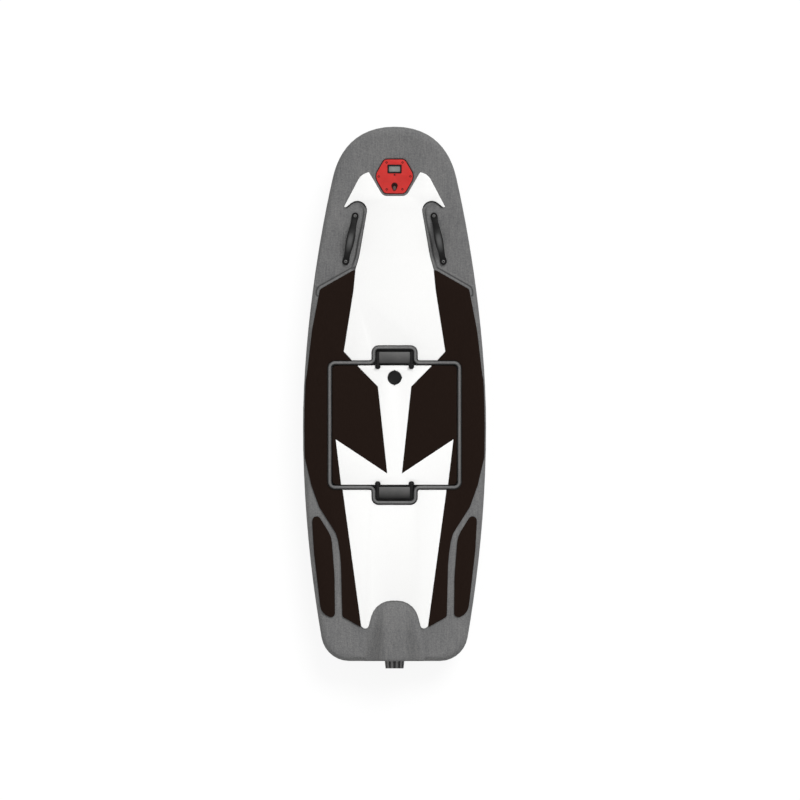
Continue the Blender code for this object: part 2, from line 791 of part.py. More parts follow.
def pump_well_cutter():
    """A slot from below with a round roof, in which the pump housing seats."""
    outer = DUCT_RADIUS + DUCT_WALL + GAP
    round_roof = circle(outer, y=SHAFT_HEIGHT)[:ROUND_STEPS // 2 + 1]
    below = HULL_BOTTOM - OVERRUN
    loop = round_roof + [Vector((-outer, below)), Vector((outer, below))]
    mesh = plate_mesh("pump_well_cutter", [loop], 0.0, DUCT_FRONT + GAP - STERN - TRANSOM_WALL)
    mesh.transform(Matrix(((1, 0, 0, 0), (0, 0, -1, DUCT_FRONT + GAP), (0, 1, 0, 0), (0, 0, 0, 1))))
    return place("pump_well_cutter", mesh)


def hull():
    mesh = ring_solid_mesh("hull", hull_rings())
    shell = place("hull", mesh, shell_grey(), smooth_angle=math.radians(28))
    for side in (1, -1):
        edge = (side * STRAKE_OFFSET - STRAKE_WIDTH / 2, STRAKE_BACK, 0.0)
        far = (side * STRAKE_OFFSET + STRAKE_WIDTH / 2, STRAKE_FRONT, HULL_BOTTOM + OVERRUN)
        fuse(shell, place("strake", box_mesh("strake", edge, far)))
    fuse(shell, place("hump", hump_mesh()))
    opening = rounded(both_sides(hatch_corners()))
    rebate = place("rebate", plate_mesh("rebate", [opening], LEDGE, SKY))
    cut(shell, rebate)
    for end in (1, -1):
        near = HATCH_CENTRE + end * (OPENING_HALF_LENGTH - GAP)
        far = HATCH_CENTRE + end * (OPENING_HALF_LENGTH + POCKET_REACH)
        half_width = POCKET_HALF_WIDTH
        loop = rounded([
            (half_width, near, 0.0), (half_width, far, POCKET_CORNER),
            (-half_width, far, POCKET_CORNER), (-half_width, near, 0.0),
        ])
        pocket = plate_mesh("pocket", [loop], DECK - POCKET_DEPTH, DECK + OVERRUN)
        cut(shell, place("pocket", pocket))
    bay = hatch_box(BAY_HALF_WIDTH, BAY_HALF_LENGTH, OPENING_CORNER)
    cut(shell, place("bay", plate_mesh("bay", [bay], BAY_FLOOR, SKY)))
    cut(shell, recess_cutter("recess_right", 1), recess_cutter("recess_left", -1))
    seat = plate_mesh("panel_seat", [panel_outline(PANEL_GASKET_RIM + GAP)],
                      -PANEL_POCKET_DEPTH, DECK_RISE)
    seat.transform(panel_frame())
    cut(shell, place("panel_seat", seat))
    cut(shell, place("motor_room", rod_mesh("motor_room", MOTOR_ROOM_RADIUS, BAY_BACK + OVERRUN,
                                            MOTOR_BACK - GAP)))
    cut(shell, intake_cutter(), pump_well_cutter())
    cut(shell, place("shaft_bore", rod_mesh("shaft_bore", SHAFT_RADIUS + SHAFT_CLEARANCE,
                                            MOTOR_BACK + OVERRUN, DUCT_FRONT)))
    cut(shell, place("nozzle_bore", rod_mesh(
        "nozzle_bore", NOZZLE_ROOT_RADIUS + NOZZLE_CLEARANCE, STERN + TRANSOM_WALL + OVERRUN,
        STERN - OVERRUN)))
    grate = box_mesh("grate_seat", (-INTAKE_HALF_WIDTH - GRATE_RIM, INTAKE_BACK - GRATE_RIM,
                                    HULL_BOTTOM - OVERRUN),
                     (INTAKE_HALF_WIDTH + GRATE_RIM, INTAKE_FRONT + GRATE_RIM,
                      HULL_BOTTOM + GRATE_THICKNESS))
    cut(shell, place("grate_seat", grate))
    ride = plate_mesh("ride_seat", [ride_plate_outline(GAP)], HULL_BOTTOM - OVERRUN,
                      HULL_BOTTOM + RIDE_PLATE_THICKNESS)
    cut(shell, place("ride_seat", ride))


def ride_plate_outline(grow=0.0):
    front = INTAKE_BACK - GRATE_RIM - 2 * GAP
    return rounded(box_corners(RIDE_PLATE_HALF_WIDTH + grow, front - RIDE_PLATE_LENGTH - grow,
                               front, RIDE_PLATE_CORNER))


# Deck pads

def deck_pads():
    outer = edge_rings(PAD_HIGH, PAD_MARGIN)
    inner = edge_rings(PAD_LOW, PAD_MARGIN)
    skin = place("deck_skin", ring_solid_mesh("deck_skin", outer + inner[::-1]))
    clear = rounded(both_sides(hatch_corners(COAMING_WIDTH + PAD_JOINT)))
    hole = place("hatch_hole", plate_mesh("hatch_hole", [clear], LEDGE, SKY))
    fore = on_board(FORE_PAD_SHARES, FORE_PAD_RADII)
    aft = on_board(AFT_PAD_SHARES, AFT_PAD_RADII)
    aft.append((HUMP_NOSE_HALF_WIDTH + AFT_PAD_HORN, STERN + AFT_PAD_HORN_FROM_STERN,
                AFT_PAD_HORN_RADIUS))
    aft.append((HUMP_NOSE_HALF_WIDTH - AFT_PAD_THROAT_INSET,
                STERN + HUMP_LENGTH - AFT_PAD_THROAT_LAP, AFT_PAD_THROAT_RADIUS))
    side_pad = on_board(SIDE_PAD_SHARES, SIDE_PAD_RADII)
    rear = on_board(REAR_PAD_SHARES, REAR_PAD_RADII)
    pads = [
        ("deck_pad_fore_white", both_sides(fore), pad_white(), True),
        ("deck_pad_aft_white", both_sides(aft), pad_white(), True),
    ]
    for side, word in ((1, "right"), (-1, "left")):
        pads.append(("deck_pad_side_black_" + word, [(side * x, y, r) for x, y, r in side_pad],
                     pad_black(), True))
        pads.append(("deck_pad_rear_black_" + word, [(side * x, y, r) for x, y, r in rear],
                     pad_black(), False))
    for name, corners, material, meets_hatch in pads:
        loop = shrunk(rounded(corners), PAD_JOINT / 2)
        pad = place(name, plate_mesh(name, [loop], LEDGE, SKY), material)
        keep_inside(pad, skin)
        if meets_hatch:
            cut(pad, hole)


def shrunk(loop, inset):
    """An outline moved inwards by a small inset, corner by corner."""
    area = sum(a.x * b.y - b.x * a.y for a, b in zip(loop, loop[1:] + loop[:1]))
    sense = 1.0 if area > 0 else -1.0
    moved = []
    for index, here in enumerate(loop):
        back = (here - loop[index - 1]).normalized()
        ahead = (loop[(index + 1) % len(loop)] - here).normalized()
        inward = Vector((-(back.y + ahead.y), back.x + ahead.x)) * sense
        scale = 1 + back.dot(ahead)
        moved.append(here + inward * inset / max(scale, SHARPEST_MITRE_SHARE))
    return moved


# Hatch: coaming, gasket, lid, pads, plug and latches

def coaming():
    outer = rounded(both_sides(hatch_corners(COAMING_WIDTH)))
    inner = rounded(both_sides(hatch_corners()))
    mesh = plate_mesh("hatch_coaming", [outer, inner], DECK + GAP, DECK + COAMING_HEIGHT,
                      COAMING_ROUND)
    place("hatch_coaming", mesh, shell_grey())


def gasket():
    half_width = OPENING_HALF_WIDTH - GASKET_INSET
    half_length = OPENING_HALF_LENGTH - GASKET_INSET
    outer = hatch_box(half_width, half_length, OPENING_CORNER)
    inner = hatch_box(half_width - GASKET_WIDTH, half_length - GASKET_WIDTH, OPENING_CORNER)
    mesh = plate_mesh("hatch_gasket", [outer, inner], LEDGE + GAP, DECK - LID_THICKNESS - GAP)
    place("hatch_gasket", mesh, rubber_black())


def hatch():
    carrier = axis_empty("hatch_lift", (0.0, HATCH_CENTRE, DECK))
    to_local = Matrix.Translation(-carrier.location)

    def add(name, mesh, material, smooth_angle=None):
        mesh.transform(to_local)
        return place(name, mesh, material, carrier, smooth_angle)

    lid = hatch_box(LID_HALF_WIDTH, LID_HALF_LENGTH, OPENING_CORNER)
    add("hatch_lid", plate_mesh("hatch_lid", [lid], DECK - LID_THICKNESS, DECK), shell_grey())
    notches = []
    for end in (1, -1):
        for side in (1, -1):
            reach = PIVOT_INSET + BRACKET_RADIUS + NOTCH_CLEARANCE
            half_width = BRACKET_WIDTH / 2 + NOTCH_CLEARANCE
            edge = HATCH_CENTRE + end * (LID_HALF_LENGTH + OVERRUN)
            inner = HATCH_CENTRE + end * (LID_HALF_LENGTH - reach)
            x = side * ARM_OFFSET
            nose = BRACKET_NOSE + NOTCH_CLEARANCE
            loop = rounded([
                (x + half_width, inner, nose), (x + half_width, edge, 0.0),
                (x - half_width, edge, 0.0), (x - half_width, inner, nose),
            ])
            notches.append(place("notch", plate_mesh("notch", [loop], DECK - OVERRUN, SKY)))
    plug_y = HATCH_CENTRE + LID_HALF_LENGTH - PLUG_INSET
    plug_hole = plate_mesh("plug_hole", [circle(PLUG_RADIUS + PAD_JOINT, y=plug_y)],
                           DECK - OVERRUN, SKY)
    notches.append(place("plug_hole", plug_hole))
    lid_area = hatch_box(LID_HALF_WIDTH - PAD_JOINT, LID_HALF_LENGTH - PAD_JOINT, OPENING_CORNER)
    area = place("lid_area", plate_mesh("lid_area", [lid_area], DECK + PAD_LOW, DECK + PAD_HIGH))
    wing = [(x * LID_HALF_WIDTH, HATCH_CENTRE + y * LID_HALF_LENGTH, 0.0)
            for x, y in HATCH_PAD_SHARES]
    white = shrunk(rounded(both_sides(wing)), PAD_JOINT / 2)
    pad = add("hatch_pad_white", plate_mesh("hatch_pad_white", [white], LEDGE, SKY), pad_white())
    keep_inside(pad, area)
    cut(pad, *notches)
    outside = LID_HALF_WIDTH * HATCH_PAD_END_SHARE
    for side, word in ((1, "right"), (-1, "left")):
        fill = wing + [(outside, wing[-1][1], 0.0), (outside, wing[0][1], 0.0)]
        corners = [(side * x, y, radius) for x, y, radius in fill]
        loop = shrunk(rounded(corners), PAD_JOINT / 2)
        name = "hatch_pad_black_" + word
        pad = add(name, plate_mesh(name, [loop], LEDGE, SKY), pad_black())
        keep_inside(pad, area)
    vent_plug(carrier, plug_y)
    for end, word in ((1, "fore"), (-1, "aft")):
        latch(carrier, end, word)


def vent_plug(carrier, plug_y):
    low = GAP
    high = PAD_HIGH + PLUG_PROUD
    inner = PLUG_RADIUS - PLUG_RIM_WIDTH
    profile = [(0.0, high - PLUG_DISH), (inner, high - PLUG_DISH), (inner, high),
               (PLUG_RADIUS, high), (PLUG_RADIUS, low), (0.0, low)]
    plug = turned("vent_plug", profile, plug_black(), carrier)
    plug.location = (0.0, plug_y - HATCH_CENTRE, 0.0)
    bar = box_mesh("plug_bar", (-PLUG_BAR_HALF_WIDTH, -inner - GAP, high - 2 * PLUG_DISH),
                   (PLUG_BAR_HALF_WIDTH, inner + GAP, high - GAP))
    grip = place("plug_bar", bar, None, carrier)
    grip.location = plug.location
    fuse(plug, grip)


def latch(carrier, end, word):
    """A lever plate between two arms that turn on brackets at the lid's edge."""
    edge = end * (LID_HALF_LENGTH - PIVOT_INSET)
    pivot = axis_empty("latch_%s_axis" % word, (0.0, edge, PIVOT_HEIGHT))
    pivot.parent = carrier
    for side, hand in ((1, "right"), (-1, "left")):
        latch_arm("latch_%s_arm_%s" % (word, hand), side * ARM_OFFSET, end, pivot)
        latch_bracket("latch_%s_bracket_%s" % (word, hand), side * ARM_OFFSET, end, pivot)
    latch_lever("latch_%s_lever" % word, end, pivot)


def latch_arm(name, x, end, pivot):
    corners = [
        (-ARM_BOSS_RADIUS, -ARM_BOSS_RADIUS, ARM_BOSS_RADIUS * ARM_ROUND_SHARE),
        (ARM_REACH, -ARM_TIP_HALF_HEIGHT, ARM_TIP_HALF_HEIGHT * ARM_ROUND_SHARE),
        (ARM_REACH, ARM_TIP_HALF_HEIGHT, ARM_TIP_HALF_HEIGHT * ARM_ROUND_SHARE),
        (-ARM_BOSS_RADIUS, ARM_BOSS_RADIUS, ARM_BOSS_RADIUS * ARM_ROUND_SHARE),
    ]
    outline = rounded([(end * y, z, radius) for y, z, radius in corners])
    bore = circle(PIN_RADIUS + PIN_CLEARANCE, ROUND_STEPS // 2)
    half = ARM_WIDTH / 2
    place(name, upright_mesh(name, [outline, bore], x - half, x + half), rubber_black(), pivot)


def latch_bracket(name, x, end, pivot):
    """Two cheeks on a base, with the pin across them that the arm turns on."""
    wide = BRACKET_WIDTH / 2
    outer = end * (PIVOT_INSET - GAP)
    inner = -end * BRACKET_RADIUS
    plan = rounded([
        (x + wide, outer, 0.0), (x - wide, outer, 0.0),
        (x - wide, inner, BRACKET_NOSE), (x + wide, inner, BRACKET_NOSE),
    ])
    blank = plate_mesh(name, [plan], GAP - PIVOT_HEIGHT, BRACKET_TOP)
    bracket = place(name, blank, plug_black(), pivot)
    room = ARM_BOSS_RADIUS + BRACKET_CLEARANCE
    half_slot = ARM_WIDTH / 2 + BRACKET_CLEARANCE
    slot = box_mesh("slot", (x - half_slot, -BRACKET_RADIUS - OVERRUN, -room),
                    (x + half_slot, BRACKET_RADIUS + OVERRUN, room + OVERRUN))
    bite = half_slot + BRACKET_CLEARANCE
    pin = upright_mesh("pin", [circle(PIN_RADIUS, ROUND_STEPS // 2)], x - bite, x + bite)
    cut(bracket, place("slot", slot, None, pivot))
    fuse(bracket, place("pin", pin, None, pivot))


def latch_lever(name, end, pivot):
    """A crowned plate with a lip for the fingers along its outer edge."""
    tip = LEVER_START + LEVER_LENGTH
    crown = [
        (LEVER_START + LEVER_LENGTH * step / LEVER_STEPS,
         -LEVER_DROP + LEVER_THICKNESS / 2 + LEVER_CROWN * math.sin(math.pi * step / LEVER_STEPS))
        for step in range(LEVER_STEPS + 1)
    ]
    under = [(y, z - LEVER_THICKNESS) for y, z in crown[:-1]]
    lip = [(tip, -LEVER_LIP), (tip - LEVER_THICKNESS, -LEVER_LIP),
           (tip - LEVER_THICKNESS, crown[-1][1] - LEVER_THICKNESS)]
    outline = [Vector((end * y, z)) for y, z in crown + lip + under[::-1]]
    half = ARM_OFFSET - ARM_WIDTH / 2 - GAP
    place(name, upright_mesh(name, [outline], -half, half), lever_grey(), pivot)


# Handles

def arched_strip_mesh(name, half_span, end_radius, neck, grip, end_thickness, grip_thickness, rise,
                      stations, neck_share):
    """A strip along local Y with round flat ends and a raised middle, resting on zero height."""
    reach = half_span + end_radius
    sections = []
    for station in range(stations + 1):
        sweep = -math.cos(math.pi * station / stations)
        y = sweep * (reach - GAP)
        away = abs(y)
        if away > half_span:
            half_width = math.sqrt(max(end_radius ** 2 - (away - half_span) ** 2, 0.0))
            half_width = max(half_width, end_radius * HANDLE_BLUNT_SHARE)
        else:
            share = away / half_span
            if share > neck_share:
                blend = (share - neck_share) / (1 - neck_share)
                half_width = neck + (end_radius - neck) * math.sin(math.pi / 2 * blend) ** 2
            else:
                blend = share / neck_share
                half_width = grip + (neck - grip) * math.sin(math.pi / 2 * blend) ** 2
        lift_off = half_span * HANDLE_CLIMB_SHARE
        climb = max(0.0, 1 - (away / lift_off) ** 2) ** HANDLE_CLIMB_POWER
        thickness = end_thickness + (grip_thickness - end_thickness) * climb
        low = GAP + rise * climb
        high = low + thickness
        inner = half_width * HANDLE_EDGE_SHARE
        shoulder = thickness * (1 - HANDLE_EDGE_SHARE) / 2
        sections.append([
            Vector((-inner, y, low)), Vector((inner, y, low)),
            Vector((half_width, y, low + shoulder)), Vector((half_width, y, high - shoulder)),
            Vector((inner, y, high)), Vector((-inner, y, high)),
            Vector((-half_width, y, high - shoulder)), Vector((-half_width, y, low + shoulder)),
        ])
    return skinned_mesh(name, sections)


def handle_frame(side):
    """Where a handle stands: halfway between its screws, turned and tilted with the recess."""
    (x1, y1), (x2, y2) = [
        (side * across * BOARD_HALF_WIDTH, BOW - along * BOARD_LENGTH)
        for across, along in HANDLE_SCREW_SHARES
    ]
    middle = ((x1 + x2) / 2, (y1 + y2) / 2)
    turn = math.atan2(x2 - x1, y1 - y2)
    tilt = math.atan2(recess_floor(y1) - recess_floor(y2), y1 - y2)
    place_at = Matrix.Translation((middle[0], middle[1], recess_floor(middle[1])))
    return place_at @ Matrix.Rotation(tilt, 4, "X") @ Matrix.Rotation(turn, 4, "Z")


def handles():
    for side, word in ((1, "right"), (-1, "left")):
        name = "handle_" + word
        mesh = arched_strip_mesh(
            name, HANDLE_HALF_SPAN, HANDLE_LUG_RADIUS, HANDLE_NECK_HALF_WIDTH,
            HANDLE_GRIP_HALF_WIDTH, HANDLE_LUG_THICKNESS, HANDLE_GRIP_THICKNESS, HANDLE_RISE,
            HANDLE_STATIONS, HANDLE_NECK_SHARE)
        handle = place(name, mesh, rubber_black(), smooth_angle=math.radians(50))
        handle.matrix_world = handle_frame(side)


# Instrument panel

def key_outline(grow=0.0):
    """A teardrop: a round head with a point towards the stern."""
    head = KEY_RADIUS + grow
    reach = KEY_POINT + grow
    lean = math.asin((KEY_RADIUS - KEY_POINT_RADIUS) / (KEY_POINT - KEY_POINT_RADIUS))
    centre = KEY_OFFSET + (KEY_POINT - KEY_RADIUS) / 2
    steps = ROUND_STEPS // 2
    points = []
    for step in range(steps + 1):
        angle = -lean + (math.pi + 2 * lean) * step / steps
        points.append(Vector((head * math.cos(angle), centre + head * math.sin(angle))))
    small = KEY_POINT_RADIUS + grow
    tail = centre - reach + small
    for step in range(steps // 2 + 1):
        angle = math.pi + lean + (math.pi - 2 * lean) * step / (steps // 2)
        points.append(Vector((small * math.cos(angle), tail + small * math.sin(angle))))
    return points


def bezel_corners(grow=0.0):
    low = SCREEN_OFFSET - BEZEL_HALF_LENGTH - grow
    high = SCREEN_OFFSET + BEZEL_HALF_LENGTH + grow
    return rounded(box_corners(BEZEL_HALF_WIDTH + grow, low, high, BEZEL_CORNER))


def panel():
    frame = panel_frame()

    def add(name, loops, low, high, material):
        thing = place(name, plate_mesh(name, loops, low, high), material)
        thing.matrix_world = frame
        return thing

    seat = -PANEL_POCKET_DEPTH + GAP
    top_of_gasket = seat + PANEL_GASKET_THICKNESS
    low = top_of_gasket + GAP
    high = low + PANEL_THICKNESS
    add("panel_gasket", [panel_outline(PANEL_GASKET_RIM)], seat, top_of_gasket, rubber_black())
    spot = circle(INDICATOR_RADIUS + GAP, ROUND_STEPS // 2, y=INDICATOR_OFFSET)
    add("panel_plate", [panel_outline(), bezel_corners(GAP), spot, key_outline(GAP)], low, high,
        panel_red())
    wall = -BEZEL_WALL
    add("display_bezel", [bezel_corners(), bezel_corners(wall)], low, high + BEZEL_PROUD, plug_black())
    add("display_screen", [bezel_corners(wall - GAP)], low, high - SCREEN_SINK, screen_grey())
    add("indicator_lamp", [circle(INDICATOR_RADIUS, ROUND_STEPS // 2, y=INDICATOR_OFFSET)], low,
        high + GAP, plug_black())
    socket = add("key_socket", [key_outline()], low, high + KEY_PROUD, plug_black())
    centre = KEY_OFFSET + (KEY_POINT - KEY_RADIUS) / 2
    slot = plate_mesh("key_slot", [circle(KEY_SLOT_RADIUS, ROUND_STEPS // 2, y=centre)],
                      high + KEY_PROUD - KEY_SLOT_DEPTH, high + KEY_PROUD + OVERRUN)
    slot.transform(frame)
    cut(socket, place("key_slot", slot))


# Battery and motor

def battery():
    low = (-BATTERY_HALF_WIDTH, HATCH_CENTRE - BATTERY_BACK, BAY_FLOOR + GAP)
    high = (BATTERY_HALF_WIDTH, HATCH_CENTRE + BATTERY_FRONT, BAY_FLOOR + BATTERY_HEIGHT)
    case = place("battery", box_mesh("battery", low, high), battery_black())
    rounding = case.modifiers.new("edges", "BEVEL")
    rounding.width = BATTERY_EDGE
    rounding.segments = 1
    strap = arched_strip_mesh("battery_strap", STRAP_HALF_SPAN, STRAP_HALF_WIDTH, STRAP_HALF_WIDTH,
                              STRAP_HALF_WIDTH, STRAP_THICKNESS, STRAP_THICKNESS, STRAP_RISE,
                              STRAP_STATIONS, HANDLE_NECK_SHARE)
    middle = HATCH_CENTRE + (BATTERY_FRONT - BATTERY_BACK) / 2
    grip = place("battery_strap", strap, strap_red())
    grip.location = (0.0, middle, BAY_FLOOR + BATTERY_HEIGHT)
    grip.rotation_euler = (0.0, 0.0, math.pi / 2)
    profile = [(0.0, CONNECTOR_HEIGHT), (CONNECTOR_RADIUS, CONNECTOR_HEIGHT),
               (CONNECTOR_RADIUS, GAP), (0.0, GAP)]
    connector = turned("battery_connector", profile, plug_black())
    connector.location = (BATTERY_HALF_WIDTH - CONNECTOR_FROM_SIDE,
                          HATCH_CENTRE - BATTERY_BACK + CONNECTOR_FROM_BACK,
                          BAY_FLOOR + BATTERY_HEIGHT)


def motor():
    block = place("motor", rod_mesh("motor", MOTOR_RADIUS, MOTOR_FRONT, MOTOR_BACK + BULKHEAD),
                  metal_grey(), smooth_angle=math.radians(35))
    rounding = block.modifiers.new("edges", "BEVEL")
    rounding.width = MOTOR_EDGE
    rounding.segments = 1
    rounding.limit_method = "ANGLE"
    rounding.angle_limit = math.radians(60)
    seal = rod_mesh("motor_mount", MOTOR_ROOM_RADIUS - GAP, MOTOR_BACK + BULKHEAD - GAP, MOTOR_BACK)
    mount = place("motor_mount", seal, plug_black())
    cut(mount, place("mount_bore", rod_mesh("mount_bore", SHAFT_RADIUS + SHAFT_CLEARANCE,
                                            MOTOR_BACK + BULKHEAD + OVERRUN, MOTOR_BACK - OVERRUN)))


# Jet pump

def blade_mesh(name, root, tip, length, twist, start):
    """A twisted blade about the local Z axis, from a root radius out to a tip radius."""
    sections = []
    for ring in range(BLADE_RINGS):
        radius = root + (tip - root) * ring / (BLADE_RINGS - 1)
        half_angle = BLADE_THICKNESS / 2 / radius
        one_side = []
        other_side = []
        for step in range(BLADE_STEPS + 1):
            share = step / BLADE_STEPS
            angle = start + twist * share
            height = length * (share - 0.5)
            one_side.append(Vector((radius * math.cos(angle + half_angle),
                                    radius * math.sin(angle + half_angle), height)))
            other_side.append(Vector((radius * math.cos(angle - half_angle),
                                      radius * math.sin(angle - half_angle), height)))
        sections.append(one_side + other_side[::-1])
    return skinned_mesh(name, sections)


def bladed(name, hub_profile, count, tip, length, twist, parent):
    """A hub with blades fused to it, about the shaft line."""
    hub = turned(name, hub_profile, metal_grey(), parent)
    root = IMPELLER_HUB_RADIUS - BLADE_ROOT
    for number in range(count):
        mesh = blade_mesh("blade", root, tip, length, twist, 2 * math.pi * number / count)
        fuse(hub, place("blade", mesh, None, parent))
    return hub


def shaft_empty(name, y):
    empty = axis_empty(name, (0.0, y, SHAFT_HEIGHT))
    empty.rotation_euler = (-math.pi / 2, 0.0, 0.0)
    return empty


def pump():
    wall = DUCT_RADIUS + DUCT_WALL
    length = DUCT_FRONT - DUCT_BACK
    ring = [(wall, length), (wall, 0.0), (DUCT_RADIUS, 0.0), (DUCT_RADIUS, length)]
    turned("pump_housing", ring, metal_grey(), shaft_empty("duct_axis", DUCT_BACK))
    half = IMPELLER_LENGTH / 2
    spin = shaft_empty("impeller_axis", IMPELLER_FRONT - half)
    bore = SHAFT_RADIUS
    hub = [(bore, half), (IMPELLER_HUB_RADIUS, half), (IMPELLER_HUB_RADIUS, -half), (bore, -half)]
    bladed("impeller", hub, IMPELLER_BLADES, IMPELLER_RADIUS,
           IMPELLER_LENGTH * IMPELLER_BLADE_SHARE, IMPELLER_TWIST, spin)
    shaft = rod_mesh("drive_shaft", SHAFT_RADIUS - GAP, MOTOR_BACK + BULKHEAD - GAP,
                     IMPELLER_FRONT - IMPELLER_LENGTH - GAP, ROUND_STEPS // 2)
    shaft.transform(spin_inverse(IMPELLER_FRONT - half))
    place("drive_shaft", shaft, metal_grey(), spin, math.radians(35))
    half = STATOR_LENGTH / 2
    still = shaft_empty("stator_axis", STATOR_FRONT - half)
    cone = [(0.0, half), (IMPELLER_HUB_RADIUS, half), (IMPELLER_HUB_RADIUS, -half / 2),
            (IMPELLER_HUB_RADIUS * STATOR_TIP_SHARE, -half), (0.0, -half)]
    bladed("stator", cone, STATOR_VANES, DUCT_RADIUS - GAP,
           STATOR_LENGTH * STATOR_BLADE_SHARE, STATOR_TWIST, still)


def spin_inverse(y):
    """World places seen from an empty on the shaft line."""
    frame = Matrix.Translation((0.0, y, SHAFT_HEIGHT)) @ Matrix.Rotation(-math.pi / 2, 4, "X")
    return frame.inverted()


def nozzle():
    """The outlet: a flange against the duct, a cone, then a fluted spout through the transom."""
    tip = STERN - NOZZLE_REACH
    length = DUCT_BACK - GAP - tip
    throat = STERN + TRANSOM_WALL - tip
    flange = DUCT_RADIUS + DUCT_WALL
    profile = [
        (flange, length), (flange, length - NOZZLE_FLANGE), (NOZZLE_ROOT_RADIUS, throat),
        (NOZZLE_ROOT_RADIUS, NOZZLE_REACH), (NOZZLE_TIP_RADIUS, 0.0), (NOZZLE_BORE_RADIUS, 0.0),
        (NOZZLE_ROOT_RADIUS - NOZZLE_WALL, throat), (DUCT_RADIUS, length),
    ]
    piece = turned("nozzle", profile, lever_grey(), shaft_empty("nozzle_axis", tip))
    half = FLUTE_WIDTH / 2
    for number in range(FLUTE_COUNT):
        flute = box_mesh("flute", (NOZZLE_TIP_RADIUS - FLUTE_DEPTH, -half, -OVERRUN),
                         (NOZZLE_ROOT_RADIUS + OVERRUN, half, NOZZLE_REACH - GAP))
        flute.transform(Matrix.Rotation(2 * math.pi * number / FLUTE_COUNT, 4, "Z"))
        cut(piece, place("flute", flute, None, piece.parent))


def intake_grate():
    low = HULL_BOTTOM
    high = HULL_BOTTOM + GRATE_THICKNESS - GAP
    half_width = INTAKE_HALF_WIDTH + GRATE_RIM - GAP
    front = INTAKE_FRONT + GRATE_RIM - GAP
    back = INTAKE_BACK - GRATE_RIM + GAP
    loops = [rounded(box_corners(half_width, back, front))]
    pitch = 2 * INTAKE_HALF_WIDTH / GRATE_SLOTS
    for slot in range(GRATE_SLOTS):
        x = -INTAKE_HALF_WIDTH + pitch * (2 * slot + 1) / 2
        half = GRATE_SLOT_WIDTH / 2
        radius = half * GRATE_SLOT_ROUND_SHARE
        corners = [(x + half, INTAKE_BACK, radius), (x + half, INTAKE_FRONT, radius),
                   (x - half, INTAKE_FRONT, radius), (x - half, INTAKE_BACK, radius)]
        loops.append(rounded(corners))
    place("intake_grate", plate_mesh("intake_grate", loops, low, high), metal_grey())


def ride_plate():
    mesh = plate_mesh("ride_plate", [ride_plate_outline()], HULL_BOTTOM,
                      HULL_BOTTOM + RIDE_PLATE_THICKNESS - GAP)
    place("ride_plate", mesh, metal_grey())


hull()
deck_pads()
coaming()
gasket()
hatch()
handles()
panel()
battery()
motor()
pump()
nozzle()
intake_grate()
ride_plate()
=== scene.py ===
# %% [markdown]
# # A motorized surfboard, dressed for its portrait
# The engineering model of this jet-drive board already holds every solid at its true place. This lesson
# loads it as a fixed frame and gives each piece the surface that the real one has: a pebbled, moulded
# shell, brushed foam deck pads, rubber handles, a lacquered red panel and a metal pump. Nothing of the
# frame moves. Where a solid is too plain, a finer piece is modelled over it and stands in for it.

# %% The frame
import json
import math

import bmesh
import bpy
from mathutils import Matrix, Vector
from mathutils.bvhtree import BVHTree
from mathutils.kdtree import KDTree

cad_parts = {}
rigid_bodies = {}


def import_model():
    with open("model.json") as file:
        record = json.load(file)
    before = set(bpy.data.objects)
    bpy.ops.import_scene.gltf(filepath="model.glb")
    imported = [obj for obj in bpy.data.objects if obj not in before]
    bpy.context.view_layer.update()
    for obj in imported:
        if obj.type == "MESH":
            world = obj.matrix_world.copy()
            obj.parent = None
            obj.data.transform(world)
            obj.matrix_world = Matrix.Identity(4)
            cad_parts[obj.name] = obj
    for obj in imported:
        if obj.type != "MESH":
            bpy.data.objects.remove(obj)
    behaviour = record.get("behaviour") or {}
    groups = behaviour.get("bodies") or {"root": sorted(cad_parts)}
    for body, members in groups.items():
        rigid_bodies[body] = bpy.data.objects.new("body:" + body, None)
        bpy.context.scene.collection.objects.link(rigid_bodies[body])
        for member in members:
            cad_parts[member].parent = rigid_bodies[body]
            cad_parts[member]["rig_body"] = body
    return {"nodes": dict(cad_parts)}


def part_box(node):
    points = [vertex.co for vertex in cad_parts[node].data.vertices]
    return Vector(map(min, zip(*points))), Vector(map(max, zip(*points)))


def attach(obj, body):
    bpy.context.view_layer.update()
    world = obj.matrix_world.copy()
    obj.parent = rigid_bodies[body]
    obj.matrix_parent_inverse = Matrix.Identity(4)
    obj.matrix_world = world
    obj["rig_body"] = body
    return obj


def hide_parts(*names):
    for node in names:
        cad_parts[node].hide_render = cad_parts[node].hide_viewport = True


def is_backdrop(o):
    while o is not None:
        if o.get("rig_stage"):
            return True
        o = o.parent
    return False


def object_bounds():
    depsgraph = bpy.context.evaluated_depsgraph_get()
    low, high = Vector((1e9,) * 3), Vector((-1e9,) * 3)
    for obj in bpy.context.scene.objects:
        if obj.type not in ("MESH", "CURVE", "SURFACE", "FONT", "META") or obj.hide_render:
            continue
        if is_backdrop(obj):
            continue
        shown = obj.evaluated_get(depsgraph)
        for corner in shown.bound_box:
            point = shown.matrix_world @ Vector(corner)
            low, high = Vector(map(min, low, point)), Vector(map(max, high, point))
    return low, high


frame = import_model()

CAD_LOW, CAD_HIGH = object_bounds()
SIDES = ((1, "right"), (-1, "left"))
print("frame box", [round(value, 4) for value in (*CAD_LOW, *CAD_HIGH)])


def placed(name, data):
    """A new object for some data, linked to the scene."""
    thing = bpy.data.objects.new(name, data)
    bpy.context.scene.collection.objects.link(thing)
    return thing


def mesh_of(name, bm):
    """A new mesh from a bmesh, which is freed."""
    mesh = bpy.data.meshes.new(name)
    bm.to_mesh(mesh)
    bm.free()
    return mesh


